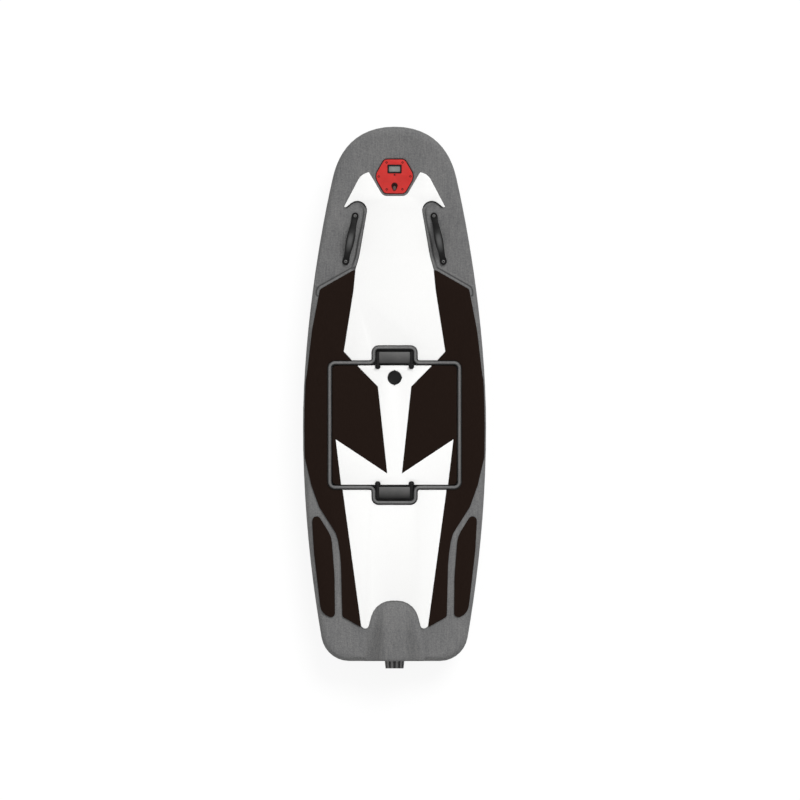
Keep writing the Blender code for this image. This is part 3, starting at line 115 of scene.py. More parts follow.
# %% [markdown]
# ## The camera
# The picture was taken from straight above with next to no perspective, bow up. An orthographic camera
# gives that: its scale is the width of the picture in metres. The board's centre lies a few pixels from
# the middle of the picture, so the camera's place follows from that pixel and the size of one pixel.

# %% Camera over the deck
PICTURE_SIDE = 800
METRES_PER_PIXEL = 0.00327
BOARD_CENTRE_PIXEL = (394.55, 397.5)
CAMERA_HEIGHT = 3.0


def photo_camera():
    """An orthographic camera that frames the board as the picture does."""
    lens = bpy.data.cameras.new("deck_camera")
    lens.type = "ORTHO"
    lens.ortho_scale = PICTURE_SIDE * METRES_PER_PIXEL
    camera = placed("deck_camera", lens)
    across = (PICTURE_SIDE / 2 - BOARD_CENTRE_PIXEL[0]) * METRES_PER_PIXEL
    along = (BOARD_CENTRE_PIXEL[1] - PICTURE_SIDE / 2) * METRES_PER_PIXEL
    camera.location = (across, along, CAMERA_HEIGHT)
    bpy.context.scene.camera = camera
    return camera


print("camera at", [round(value, 4) for value in photo_camera().location])

# %% [markdown]
# ## Reading finishes from nodes
# Every finish below is a Principled shader fed by a few procedural textures, all of them read in Object
# coordinates so that a grain keeps its true size in metres on every piece. A few small helpers keep the
# recipes short: for a node with its settings, a noise, a colour ramp, a bump, and painted shade, a
# darkening whose strength is stored on a piece's points.

# %% Node helpers
# The point value under this name is painted shade: it darkens a finish where shade would fall.
PAINTED_SHADE_VALUE = "film"


def linear(*screen):
    """A colour picked on a screen, from 0 to 255, as Blender's linear values."""
    return tuple((value / 255) ** 2.2 for value in screen) + (1.0,)


def set_values(node, values):
    """Sets a node's inputs from sockets and their values."""
    for socket, value in values.items():
        node.inputs[socket].default_value = value


def fresh_finish(name, roughness, metallic=0.0, glint=0.5):
    """A new material with its tree, its shader and a source of Object coordinates."""
    made = bpy.data.materials.new(name)
    made.use_nodes = True
    tree = made.node_tree
    shader = tree.nodes["Principled BSDF"]
    set_values(shader, {"Roughness": roughness, "Metallic": metallic, "Specular IOR Level": glint})
    place = tree.nodes.new("ShaderNodeTexCoord").outputs["Object"]
    return made, tree, shader, place


def add_node(tree, kind, links=(), values=(), **settings):
    """A node of a kind, with sockets linked or given a value and its settings set."""
    node = tree.nodes.new("ShaderNode" + kind)
    for name, value in settings.items():
        setattr(node, name, value)
    set_values(node, dict(values))
    for socket, source in dict(links).items():
        tree.links.new(source, node.inputs[socket])
    return node


def noise(tree, place, scale, detail=3.0, roughness=0.5):
    """Soft noise whose patches are about one scale-th of a metre wide."""
    node = add_node(tree, "TexNoise", {"Vector": place},
                    {"Scale": scale, "Detail": detail, "Roughness": roughness})
    return node.outputs["Fac"]


def ramp(tree, factor, *stops):
    """A colour ramp from stops of a position and a colour picked on a screen."""
    node = add_node(tree, "ValToRGB", {"Fac": factor})
    elements = node.color_ramp.elements
    while len(elements) < len(stops):
        elements.new(0.5)
    for element, (position, screen) in zip(elements, stops):
        element.position = position
        element.color = linear(*screen)
    return node.outputs["Color"]


def mixed(tree, first, second, share):
    """Two factors mixed, with a share of the second."""
    return add_node(tree, "Mix", {"A": first, "B": second}, {"Factor": share}).outputs["Result"]


def feed(tree, shader, colour, roughness=None):
    """Feeds the shader its colour and, where it varies, its roughness."""
    tree.links.new(colour, shader.inputs["Base Color"])
    if roughness:
        tree.links.new(roughness, shader.inputs["Roughness"])


def spread(tree, factor, low, high):
    """A factor from 0 to 1 spread between two values."""
    node = add_node(tree, "MapRange", {"Value": factor}, {"To Min": low, "To Max": high})
    return node.outputs["Result"]


def with_painted_shade(tree, colour):
    """A colour darkened by the painted shade that is stored on a piece's points; other pieces keep it as it
    is.
    """
    film = add_node(tree, "Attribute", attribute_name=PAINTED_SHADE_VALUE).outputs["Fac"]
    left = add_node(tree, "Math", {0: film}, {1: -1.0, 2: 1.0}, operation="MULTIPLY_ADD").outputs["Value"]
    return add_node(tree, "VectorMath", {0: colour, "Scale": left}, operation="SCALE").outputs["Vector"]


def bump(tree, shader, height, distance, strength=1.0):
    """Bump of a depth in metres, stacked on any bump that the shader has."""
    before = shader.inputs["Normal"].links
    links = {"Height": height}
    if before:
        links["Normal"] = before[0].from_socket
    node = add_node(tree, "Bump", links, {"Distance": distance, "Strength": strength})
    tree.links.new(node.outputs["Normal"], shader.inputs["Normal"])


# %% [markdown]
# ## The moulded shell
# The hull is rotation-moulded plastic. Its tool is etched with a pebble grain, which in the picture reads
# as a mottle of slightly lighter and darker greys a few millimetres across. A smooth Voronoi pattern gives
# the pebbles as bump, and three noises move the grey up and down: one at pebble size, one a hand wide and
# one drawn out lengthwise, for the faint streaks in which the powder flowed. Creases and the fairing's
# flanks get painted shade, and the lip beside each shoulder groove a painted highlight. How much of it lies
# where is a value stored on the skin's points; the finish darkens with it and lightens where it is
# negative.

# %% Shell finish
SHELL_DARK = (95, 95, 96)
SHELL_MIDDLE = (111, 111, 111)
SHELL_LIGHT = (126, 125, 124)


def shell_finish():
    """Mottled mid-grey plastic with a pebble grain."""
    made, tree, shader, place = fresh_finish("moulded_shell", 0.62, glint=0.16)
    pebbles = add_node(tree, "TexVoronoi", {"Vector": place}, {"Scale": 330.0, "Smoothness": 0.6},
                       feature="SMOOTH_F1").outputs["Distance"]
    mottle = noise(tree, place, 210.0, 4.0, 0.65)
    drift = noise(tree, place, 9.0, 2.0)
    drawn = add_node(tree, "Mapping", {"Vector": place}, {"Scale": (240.0, 14.0, 240.0)}).outputs["Vector"]
    streaks = noise(tree, drawn, 1.0, 2.0)
    greys = mixed(tree, mixed(tree, mottle, drift, 0.22), streaks, 0.25)
    colour = ramp(tree, greys, (0.36, SHELL_DARK), (0.50, SHELL_MIDDLE), (0.64, SHELL_LIGHT))
    feed(tree, shader, with_painted_shade(tree, colour), spread(tree, mottle, 0.52, 0.72))
    bump(tree, shader, mottle, 0.0005, 0.55)
    bump(tree, shader, pebbles, 0.0007, 0.60)
    return made


SHELL = shell_finish()
print("shell greys", SHELL_DARK, SHELL_MIDDLE, SHELL_LIGHT)

# %% [markdown]
# ## Deck foam
# The deck pads are sheets of closed-cell foam about five millimetres thick. Sanding opens the top layer of
# cells, so a pad is matt with a very fine velvet grain. One recipe serves both colours: a fine noise for
# the cells, a streaky one for the sanding marks, and a little sheen for the way that foam lights up at its
# edges.

# %% Foam finish
def foam_finish(name, dark, light):
    """Brushed closed-cell foam between two near shades."""
    made, tree, shader, place = fresh_finish(name, 0.88, glint=0.05)
    cells = noise(tree, place, 1500.0, 2.0)
    turned = add_node(tree, "Mapping", {"Vector": place}, {"Scale": (900.0, 60.0, 900.0)}).outputs["Vector"]
    brushed = noise(tree, turned, 1.0, 2.0)
    colour = ramp(tree, mixed(tree, cells, brushed, 0.4), (0.30, dark), (0.70, light))
    feed(tree, shader, colour, spread(tree, cells, 0.80, 0.95))
    set_values(shader, {"Sheen Weight": 0.02})
    bump(tree, shader, cells, 0.00035, 0.5)
    bump(tree, shader, brushed, 0.00025, 0.35)
    return made


FOAM_WHITE = foam_finish("foam_white", (248, 248, 247), (254, 254, 253))
FOAM_BLACK = foam_finish("foam_black", (31, 23, 19), (41, 32, 28))
print("foam made:", FOAM_WHITE.name, FOAM_BLACK.name)

# %% [markdown]
# ## Rubber, plastics and paint
# Handles, gaskets and latch arms are black rubber with a satin skin and faint dust in its pores. The latch
# levers and the outlet are grey nylon. Small parts are black plastic with the fine sparkle of an eroded
# mould. The key has a grey of its own; the painted screws, the key socket and the latch trays have dark
# shades that are painted shade of their sunk heads, the socket's well and the latch wells. All of these
# differ only in colour, gloss and grain, so one recipe takes those as arguments.

# %% Moulded finishes
def moulded_finish(name, dark, light, gloss, grain, depth):
    """Moulded rubber or plastic: two shades, a range of roughness, a grain size and its depth."""
    made, tree, shader, place = fresh_finish(name, gloss[0], glint=0.12)
    fine = noise(tree, place, 1 / grain, 3.0, 0.6)
    wide = noise(tree, place, 24.0, 3.0)
    colour = ramp(tree, mixed(tree, fine, wide, 0.5), (0.35, dark), (0.65, light))
    feed(tree, shader, with_painted_shade(tree, colour), spread(tree, wide, *gloss))
    bump(tree, shader, fine, depth, 0.6)
    return made


MOULDED = (
    ("satin_rubber", (21, 21, 21), (31, 30, 30), (0.42, 0.58), 0.0012, 0.0002),
    ("black_plastic", (22, 22, 22), (31, 31, 31), (0.38, 0.55), 0.0008, 0.0001),
    ("lever_nylon", (88, 88, 88), (103, 102, 101), (0.40, 0.56), 0.0016, 0.0002),
    # A much darker red than the lacquer: painted shade of the sunk screw heads.
    ("screw_shade_red", (62, 18, 18), (82, 24, 23), (0.34, 0.50), 0.0008, 0.0001),
    # A dark red-brown: painted shade of the key socket's deep well.
    ("socket_shade_brown", (44, 17, 16), (60, 24, 22), (0.36, 0.52), 0.0008, 0.0001),
    ("key_grey", (84, 70, 68), (100, 84, 81), (0.40, 0.56), 0.0009, 0.0001),
    # The trays' dark grey is painted shade in the latch wells.
    ("tray_shade_grey", (70, 69, 69), (84, 83, 83), (0.45, 0.60), 0.0009, 0.0001),
    ("case_plastic", (38, 38, 40), (52, 52, 55), (0.45, 0.62), 0.0011, 0.00025),
)
(RUBBER, BLACK_PLASTIC, LEVER_NYLON, SCREW_SHADE_RED, SOCKET_SHADE_BROWN, KEY_GREY, TRAY_SHADE_GREY,
 CASE_PLASTIC) = [moulded_finish(*row) for row in MOULDED]
print("moulded finishes:", [row[0] for row in MOULDED])

# %% [markdown]
# The instrument panel is a plate with red lacquer on it: an even colour with a clear coat, whose surface
# has the slight orange peel of sprayed paint. The display is a dull grey-green sheet behind gloss.

# %% Red lacquer and display glass
def lacquer_finish():
    """Sprayed red paint under a clear coat."""
    made, tree, shader, place = fresh_finish("red_lacquer", 0.42, glint=0.15)
    peel = noise(tree, place, 420.0, 2.0)
    cloud = noise(tree, place, 30.0, 2.0)
    feed(tree, shader, ramp(tree, cloud, (0.3, (197, 49, 46)), (0.7, (206, 56, 52))))
    set_values(shader, {"Coat Weight": 0.12, "Coat Roughness": 0.12})
    bump(tree, shader, peel, 0.00008, 0.5)
    return made


def display_finish():
    """An unlit liquid-crystal sheet, faintly uneven."""
    made, tree, shader, place = fresh_finish("display_glass", 0.22, glint=0.2)
    cloud = noise(tree, place, 60.0, 2.0)
    feed(tree, shader, ramp(tree, cloud, (0.3, (119, 122, 119)), (0.7, (134, 137, 133))))
    set_values(shader, {"Coat Weight": 0.3, "Coat Roughness": 0.05})
    bump(tree, shader, noise(tree, place, 900.0), 0.00003, 0.3)
    return made


LACQUER = lacquer_finish()
DISPLAY = display_finish()
print("panel finishes:", LACQUER.name, DISPLAY.name)

# %% [markdown]
# Pump, plates and motor are blasted and anodised aluminium, and the screws are stainless steel. Both are
# metals whose roughness wanders a little. The battery's lifting strap is a red webbing: two crossed waves
# make its weave.

# %% Metals and webbing
def metal_finish(name, dark, light, gloss, grain):
    """Metal with a blasted or brushed grain."""
    made, tree, shader, place = fresh_finish(name, gloss[0], 1.0)
    fine = noise(tree, place, 1 / grain, 3.0, 0.6)
    wide = noise(tree, place, 18.0, 3.0)
    feed(tree, shader, ramp(tree, wide, (0.3, dark), (0.7, light)), spread(tree, fine, *gloss))
    bump(tree, shader, fine, 0.00012, 0.4)
    return made


def webbing_finish():
    """Woven red tape: a coarse rib across it and a fine one along it."""
    made, tree, shader, place = fresh_finish("red_webbing", 0.8, glint=0.2)
    across = add_node(tree, "TexWave", {"Vector": place}, {"Scale": 260.0, "Distortion": 0.6},
                      bands_direction="X").outputs["Fac"]
    along = add_node(tree, "TexWave", {"Vector": place}, {"Scale": 420.0, "Distortion": 0.6},
                     bands_direction="Y").outputs["Fac"]
    weave = add_node(tree, "Math", {0: across, 1: along}, operation="MULTIPLY").outputs["Value"]
    feed(tree, shader, ramp(tree, weave, (0.0, (112, 20, 22)), (1.0, (178, 44, 44))))
    set_values(shader, {"Sheen Weight": 0.25})
    bump(tree, shader, weave, 0.0004, 0.8)
    return made


ANODISED = metal_finish("anodised", (150, 152, 154), (172, 173, 175), (0.30, 0.46), 0.0009)
STAINLESS = metal_finish("stainless", (170, 168, 164), (196, 195, 192), (0.20, 0.34), 0.0015)
DULLED_STEEL = metal_finish("dulled_steel", (92, 92, 92), (116, 115, 114), (0.40, 0.55), 0.0012)
WEBBING = webbing_finish()
print("metals and tape:", ANODISED.name, STAINLESS.name, WEBBING.name)

# %% [markdown]
# ## From a solid to a finished piece
# A solid from the frame arrives as loose triangles. A copy of it is merged, its flat areas are made whole
# again and its sharp edges are eased with a small bevel, because no moulded or machined part has a knife
# edge: the bevel is what catches the light. The frame's own mesh is left alone.

# %% Copying a solid and easing its edges
MERGE = 0.000005
FLAT_ANGLE = math.radians(0.6)
CREASE_ANGLE = math.radians(32)
FINE_EDGE = 0.0006


def merged(node):
    """A copy of a node's solid with its triangles joined at their corners."""
    bm = bmesh.new()
    bm.from_mesh(frame["nodes"][node].data)
    bmesh.ops.remove_doubles(bm, verts=bm.verts, dist=MERGE)
    return bm


def solid_of(node):
    """A merged copy of a node's solid, with its flat areas whole."""
    bm = merged(node)
    bmesh.ops.dissolve_limit(bm, angle_limit=FLAT_ANGLE, verts=bm.verts, edges=bm.edges)
    return bm


def bevelled(bm, geom, width, segments, affect="EDGES", clamp=True):
    """Bevels edges or corners by a width."""
    bmesh.ops.bevel(bm, geom=geom, offset=width, offset_type="OFFSET", segments=segments,
                    profile=0.5, affect=affect, clamp_overlap=clamp, material=-1)


def ease(bm, width, segments=2, angle=CREASE_ANGLE, wanted=None):
    """Bevels the edges that turn by more than an angle."""
    sharp = [edge for edge in bm.edges
             if edge.is_manifold and edge.calc_face_angle() > angle and (not wanted or wanted(edge))]
    bevelled(bm, sharp, width, segments)
    return len(sharp)


def move_up(bm, geom, height):
    """Moves the vertices among what an operator made upwards, or down by a negative height."""
    verts = [item for item in geom if isinstance(item, bmesh.types.BMVert)]
    bmesh.ops.translate(bm, verts=verts, vec=(0.0, 0.0, height))


def standing(point, normal, lift):
    """Where a small part stands that is lifted off a surface along its normal."""
    return Matrix.Translation(point + normal * lift) @ normal.to_track_quat("Z", "Y").to_matrix().to_4x4()


def store(piece, name, values):
    """Stores a value on each of a piece's points, for its finish to read."""
    piece.data.attributes.new(name, "FLOAT", "POINT").data.foreach_set("value", values)


def body_with(node):
    """The body that a node belongs to."""
    return frame["nodes"][node]["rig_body"]


def finished(name, bm, body, material, replaces=(), crease=CREASE_ANGLE):
    """A bmesh as a piece that rides on a body, smooth but for its creases."""
    mesh = mesh_of(name, bm)
    mesh.shade_smooth()
    mesh.set_sharp_from_angle(angle=crease)
    mesh.materials.append(material)
    piece = placed(name, mesh)
    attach(piece, body)
    if replaces:
        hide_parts(*replaces)
    print(name, len(mesh.polygons), "faces")
    return piece


def eased_piece(node, material, width, segments=2, angle=CREASE_ANGLE):
    """A node's solid with eased edges, standing in for it under its own name and _eased."""
    bm = solid_of(node)
    ease(bm, width, segments, angle)
    return finished(node + "_eased", bm, body_with(node), material, [node])


# %% [markdown]
# ## Outlines at the handle recesses
# Two details follow the outline of a pad: the black beads that paint the shadow at the pad's edge, and the
# grooves in the shell.
# The outline is picked from the pad's own solid, as the edges between its underside and its wall, and
# walked from end to end, so each detail lies where the pad lies. Each point keeps the direction out of the
# pad. The boxes that the runs are picked from are given for the right side and mirrored for the left. A
# face counts as a wall where its normal rises or falls by less than WALL_RISE.

# %% Outline runs
WALL_RISE = 0.5
RECESS_TOP = 0.676
RECESS_FOOT = 0.418
RECESS_INNER = 0.070
RECESS_OUTER = 0.132
SHOULDER_FOOT = 0.330
SHOULDER_TOP = 0.432
SHOULDER_INNER = 0.128
SHOULDER_OUTER = 0.272
HEAD_FROM = 0.6225
HEAD_TOP = 0.650
HEAD_OUTER = 0.158


def lower_outline(bm, wanted):
    """Edges between a pad's underside and its wall whose two ends are wanted."""
    picked = []
    for edge in bm.edges:
        if not edge.is_manifold:
            continue
        heights = sorted(face.normal.z for face in edge.link_faces)
        beside_wall = heights[0] < -WALL_RISE and abs(heights[1]) < WALL_RISE
        if beside_wall and all(wanted(vert.co) for vert in edge.verts):
            picked.append(edge)
    return picked


def edge_run(node, wanted):
    """Points along a pad's lower outline in order, each with its outward direction."""
    bm = solid_of(node)
    bm.normal_update()
    touching = {}
    for edge in lower_outline(bm, wanted):
        for vert in edge.verts:
            touching.setdefault(vert, []).append(edge)
    ends = [vert for vert, edges in touching.items() if len(edges) == 1]
    here = max(ends, key=lambda vert: vert.co.y)
    run = []
    walked = set()
    while here:
        faces = [face for edge in touching[here] for face in edge.link_faces]
        walls = [face.normal for face in faces if abs(face.normal.z) < WALL_RISE]
        run.append((here.co.copy(), sum(walls, Vector()).normalized()))
        ahead = [edge for edge in touching[here] if edge not in walked]
        walked.update(ahead[:1])
        here = ahead[0].other_vert(here) if ahead else None
    bm.free()
    return run


def runs(node, low_x, high_x, low_y, high_y):
    """The runs of a pad's outline within a box, one for each side of the board."""
    found = {}
    for side, word in SIDES:
        def in_box(at):
            return low_y < at.y < high_y and low_x < side * at.x < high_x
        found[side] = edge_run(node.replace("SIDE", word), in_box)
    return found


RECESS_RUNS = runs("deck_pad_fore_white", RECESS_INNER, RECESS_OUTER, RECESS_FOOT, RECESS_TOP)
HEAD_RUNS = runs("deck_pad_fore_white", RECESS_INNER, HEAD_OUTER, HEAD_FROM, HEAD_TOP)
SHOULDER_RUNS = runs("deck_pad_side_black_SIDE", SHOULDER_INNER, SHOULDER_OUTER,
                     SHOULDER_FOOT, SHOULDER_TOP)
for outline in (RECESS_RUNS, HEAD_RUNS, SHOULDER_RUNS):
    print("outline points", {side: len(run) for side, run in outline.items()})

# %% [markdown]
# ## The shell
# A rotation-moulded hull has no sharp edge anywhere, because the melt rounds every corner of its tool.
# Bevelling hundreds of edges where cuts meet would leave slivers. A voxel remesh does what the oven does:
# it lays one even skin over the whole solid, and a few rounds of smoothing melt the corners. Smoothing
# runs longest on the fairing over the pump, whose flanks are then lowered to soft slopes. Round each
# handle recess and along the shoulders a shallow groove is pressed and given painted shade, with a painted
# highlight on the lip beside the shoulder groove. A row of the recess groove's table gives a place along
# the board, how far outside the pad the groove lies there, and how dark its painted shade is.

# %% Hull skin from voxels
VOXEL = 0.0028
SKIN_FACES = 185000
HUMP_FRONT = -0.655
HUMP_BACK = -0.862
HUMP_HALF_WIDTH = 0.135
RIDGE_HALF_WIDTH = 0.028
FLANK_END_FRONT = 0.050
FLANK_END_BACK = 0.100
FLANK_SHARE = 0.35
# Painted shade on the fairing's flanks and on its ridge.
FLANK_PAINTED_SHADE = 0.20
RIDGE_PAINTED_SHADE = 0.09
GROOVE_DEPTH = 0.0010
GROOVE_SPREAD = 0.0032
# Each row: a place along the board, the groove's distance outside the pad, the strength of its painted
# shade.
GROOVE_TABLE = (
    (0.640, 0.0125, 0.0), (0.626, 0.0125, 0.25), (0.607, 0.0100, 0.68), (0.578, 0.0085, 0.68),
    (0.545, 0.0098, 0.68), (0.515, 0.0122, 0.70), (0.450, 0.0115, 0.66), (0.432, 0.0122, 0.60),
    (0.424, 0.0130, 0.0),
)
SHOULDER_GROOVE = 0.0097
SHOULDER_SPREAD = 0.0027
# Painted shade in the shoulder groove.
SHOULDER_PAINTED_SHADE = 0.76
SHOULDER_LIP = 0.0046
# A negative value: a painted highlight on the lip beside the shoulder groove.
SHOULDER_PAINTED_HIGHLIGHT = -0.14
SHOULDER_FROM = 0.134
SHOULDER_FULL = 0.141
SAMPLE_STEP = 0.0015
GROOVE_EDGE = 0.0034
GROOVE_REACH = 0.0180
DECK_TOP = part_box("hatch_lid")[1].z
HANDLE_WELL = 0.030
MELT_ROUNDS = 5
FLOW_ROUNDS = 60
SKIN_CREASE = math.radians(60)


def flowing(point):
    """Whether a point lies on the fairing, where the surface flows."""
    beside = point.y < HUMP_FRONT and abs(point.x) < HUMP_HALF_WIDTH
    return beside and point.z > DECK_TOP - VOXEL


def skin_modifiers(skin, faces):
    """Smoothing everywhere, more of it on the fairing, then fewer faces where it is flat."""
    group = skin.vertex_groups.new(name="flowing")
    chosen = [vertex.index for vertex in skin.data.vertices if flowing(vertex.co)]
    group.add(chosen, 1.0, "REPLACE")
    for name, rounds, where in (("melt", MELT_ROUNDS, ""), ("flow", FLOW_ROUNDS, group.name)):
        smooth = skin.modifiers.new(name, "SMOOTH")
        smooth.factor = 0.5
        smooth.iterations = rounds
        smooth.vertex_group = where
    if faces > SKIN_FACES:
        fewer = skin.modifiers.new("fewer", "DECIMATE")
        fewer.ratio = SKIN_FACES / faces
    return len(chosen)


def remeshed(bm, voxel):
    """A bmesh remeshed in even voxels, as a temporary object."""
    mesh = mesh_of("skin_draft", bm)
    draft = placed("skin_draft", mesh)
    mesh.remesh_voxel_size = voxel
    with bpy.context.temp_override(active_object=draft, object=draft, selected_objects=[draft]):
        bpy.ops.object.voxel_remesh()
    return draft


def applied(thing):
    """The mesh of an object with its modifiers applied, as a bmesh; the object is removed."""
    bpy.context.view_layer.update()
    seen = thing.evaluated_get(bpy.context.evaluated_depsgraph_get())
    bm = bmesh.new()
    bm.from_mesh(seen.to_mesh())
    bpy.data.objects.remove(thing)
    return bm


def share_of(value, low, high):
    """How far a value lies from low to high, kept between 0 and 1."""
    return min(1.0, max(0.0, (value - low) / (high - low)))


def down_the_flank(at):
    """How far down the fairing's flank a point lies, and how far back."""
    back = share_of(at.y, HUMP_FRONT, HUMP_BACK)
    end = FLANK_END_FRONT + back * (FLANK_END_BACK - FLANK_END_FRONT)
    return share_of(abs(at.x), RIDGE_HALF_WIDTH, end), back


def soften_fairing(bm):
    """Lowers the fairing's flanks to soft slopes and returns the painted shade on each point."""
    painted_shades = []
    for vert in bm.verts:
        film = 0.0
        if flowing(vert.co):
            down, back = down_the_flank(vert.co)
            slope = down * down * (3 - 2 * down)
            vert.co.z -= (vert.co.z - DECK_TOP) * (1 - FLANK_SHARE) * slope
            # Painted shade on the flank and, towards the stern, on the ridge.
            flank = FLANK_PAINTED_SHADE * (1 - (2 * down - 1) ** 2) * min(1.0, 2 * back)
            film = max(flank, RIDGE_PAINTED_SHADE * min(1.0, 3 * back) * (1 - slope))
        painted_shades.append(film)
    return painted_shades


def along_run(run):
    """A search tree over a run sampled closely, seen from above, with the outward directions."""
    spots = []
    for (start, out), (end, _) in zip(run, run[1:]):
        steps = max(1, int((end - start).length / SAMPLE_STEP))
        spots += [(start.lerp(end, step / steps), out) for step in range(steps)]
    tree = KDTree(len(spots))
    for number, (spot, _) in enumerate(spots):
        tree.insert((spot.x, spot.y, 0.0), number)
    tree.balance()
    return tree, [out for _, out in spots]


def table_at(table, y):
    """Place and strength from a table with falling y, blended between its rows."""
    for (high, *first), (low, *second) in zip(table, table[1:]):
        if high >= y >= low:
            share = (high - y) / (high - low)
            return [a + (b - a) * share for a, b in zip(first, second)]
    return None


def outwards_from(tree, outs, at, limit):
    """How far outside a run a point lies, or None beyond a limit or inside it."""
    spot, number, distance = tree.find((at.x, at.y, 0.0))
    outside = (Vector((at.x, at.y, 0.0)) - spot).dot(outs[number])
    return distance if distance < limit and outside > 0 else None


def by_a_recess(at):
    """Whether a point of the skin lies on the deck in the region of the two recesses."""
    beside = RECESS_INNER < abs(at.x) < SHOULDER_OUTER and SHOULDER_FOOT < at.y < RECESS_TOP
    return beside and at.z > DECK_TOP - HANDLE_WELL


def finer_at_grooves(bm):
    """Halves the skin's longer edges near the grooves, so that a narrow groove finds enough points."""
    bmesh.ops.triangulate(bm, faces=bm.faces[:])
    before = len(bm.faces)
    trees = [along_run(run) for found in (RECESS_RUNS, SHOULDER_RUNS) for run in found.values()]
    split = []
    for edge in bm.edges:
        at = (edge.verts[0].co + edge.verts[1].co) / 2
        if by_a_recess(at) and edge.calc_length() > GROOVE_EDGE:
            if any(outwards_from(*tree, at, GROOVE_REACH) for tree in trees):
                split.append(edge)
    bmesh.ops.subdivide_edges(bm, edges=split, cuts=1)
    bmesh.ops.triangulate(bm, faces=[face for face in bm.faces if len(face.verts) > 3])
    print("faces before and after the grooves", before, len(bm.faces))


def bell(value, place, spread):
    """1 at a place, falling off softly on both sides of it."""
    return math.exp(-((value - place) / spread) ** 2)


def press_grooves(bm, painted_shades):
    """Presses the grooves, lays painted shade in them and a painted highlight on a lip beside the
    shoulder's groove.
    """
    recess = {side: along_run(run) for side, run in RECESS_RUNS.items()}
    shoulder = {side: along_run(run) for side, run in SHOULDER_RUNS.items()}
    for number, vert in enumerate(bm.verts):
        at = vert.co
        if not by_a_recess(at):
            continue
        side = 1 if at.x > 0 else -1
        out = outwards_from(*recess[side], at, 3 * GROOVE_TABLE[0][1])
        row = table_at(GROOVE_TABLE, at.y)
        if out is not None and row:
            dip = bell(out, row[0], GROOVE_SPREAD)
            # Painted shade in the recess groove.
            painted_shades[number] += row[1] * dip
            at.z -= GROOVE_DEPTH * dip
        out = outwards_from(*shoulder[side], at, 3 * SHOULDER_GROOVE)
        if out is not None:
            past = share_of(side * at.x, SHOULDER_FROM, SHOULDER_FULL)
            dip = past * bell(out, SHOULDER_GROOVE, SHOULDER_SPREAD)
            # Painted shade in the shoulder groove, and a painted highlight on the lip beside it.
            painted_shades[number] += SHOULDER_PAINTED_SHADE * dip
            painted_shades[number] += SHOULDER_PAINTED_HIGHLIGHT * bell(out, SHOULDER_LIP, SHOULDER_SPREAD)
            at.z -= GROOVE_DEPTH * dip


def hull_skin():
    """The hull's moulded skin."""
    draft = remeshed(solid_of("hull"), VOXEL)
    soft = skin_modifiers(draft, 2 * len(draft.data.polygons))
    print("voxel faces", len(draft.data.polygons), "flowing points", soft)
    bm = applied(draft)
    finer_at_grooves(bm)
    painted_shades = soften_fairing(bm)
    press_grooves(bm, painted_shades)
    store(finished("hull_skin", bm, "board", SHELL, ["hull"], SKIN_CREASE), PAINTED_SHADE_VALUE, painted_shades)


hull_skin()

# %% [markdown]
# ## Deck pads
# Each pad is cut from foam sheet and its rim is routed, so its top edge is a small round. The solids from
# the frame already bend with the deck, so it is enough to bevel the edge between the top and the sides.
# The black and white pads meet with a joint less than a millimetre wide.

# %% Pads with routed rims
PAD_RIM = 0.0016
RIM_ANGLE = math.radians(50)


def rim(edge):
    """Whether an edge is on a pad's upper rim: one of its faces looks up."""
    return max(face.normal.z for face in edge.link_faces) > WALL_RISE


def foam_pad(node, slot, material):
    """A foam pad with a routed rim."""
    bm = solid_of(node)
    count = ease(bm, PAD_RIM, 3, RIM_ANGLE, rim)
    piece = finished(node + "_foam", bm, body_with(node), material, [node])
    return count


for node in sorted(name for name in frame["nodes"] if "_pad_" in name):
    shade = ("pad_white", FOAM_WHITE) if node.endswith("white") else ("pad_black", FOAM_BLACK)
    print("  rim edges", foam_pad(node, *shade))

# %% [markdown]
# ## Edge beads at the handle recesses
# Where the shell dips away under a handle, a black bead runs along the pad's edge as painted shadow of the
# gap there, thicker round the head of the recess than along its side. It follows the pad's outline, so
# each point of that outline is moved outwards by the bead's place, and a curve with a round bevel along
# those points gives the bead. A row gives the bead's name, its runs, how far out and up its middle lies,
# and its radius.

# %% Beads along a pad's edge
# These black beads are painted shadow of the gap at the pad's edge.
SHADOW_EDGE_BEADS = (
    ("recess_head_seal_", HEAD_RUNS, 0.0016, 0.0014, 0.0020),
    ("recess_side_seal_", RECESS_RUNS, 0.0008, 0.0008, 0.0009),
)


def shadow_edge_bead(name, run, outwards, upwards, radius):
    """A round bead along a run of edge points, moved outwards and upwards from it."""
    curve = bpy.data.curves.new(name, "CURVE")
    curve.dimensions = "3D"
    curve.bevel_depth = radius
    curve.bevel_resolution = 2
    curve.use_fill_caps = True
    spline = curve.splines.new("POLY")
    spline.points.add(len(run) - 1)
    for point, (place, outward) in zip(spline.points, run):
        moved = place + outward * outwards + Vector((0.0, 0.0, upwards))
        point.co = (*moved, 1.0)
    bm = applied(placed(name + "_path", curve))
    bmesh.ops.remove_doubles(bm, verts=bm.verts, dist=MERGE)
    bmesh.ops.recalc_face_normals(bm, faces=bm.faces)
    return finished(name, bm, "board", RUBBER)


for side, word in SIDES:
    for name, outlines, *measures in SHADOW_EDGE_BEADS:
        shadow_edge_bead(name + word, outlines[side], *measures)

# %% [markdown]
# ## Hatch coaming
# A raised bead runs round the hatch and bulges out round each latch. Its outline is a plus-like shape of
# twelve corners. The quickest way to it is a flat face with those corners, whose corners are rounded by a
# vertex bevel. An inset leaves a ring, an extrusion lifts it, and a deep edge bevel makes the ring round.
# Along the bead's foot runs a black rubber ring that paints the shadow line of the joint to the deck pads:
# the same outline again, as a narrow low ring, with the bead drawn in by the ring's width.

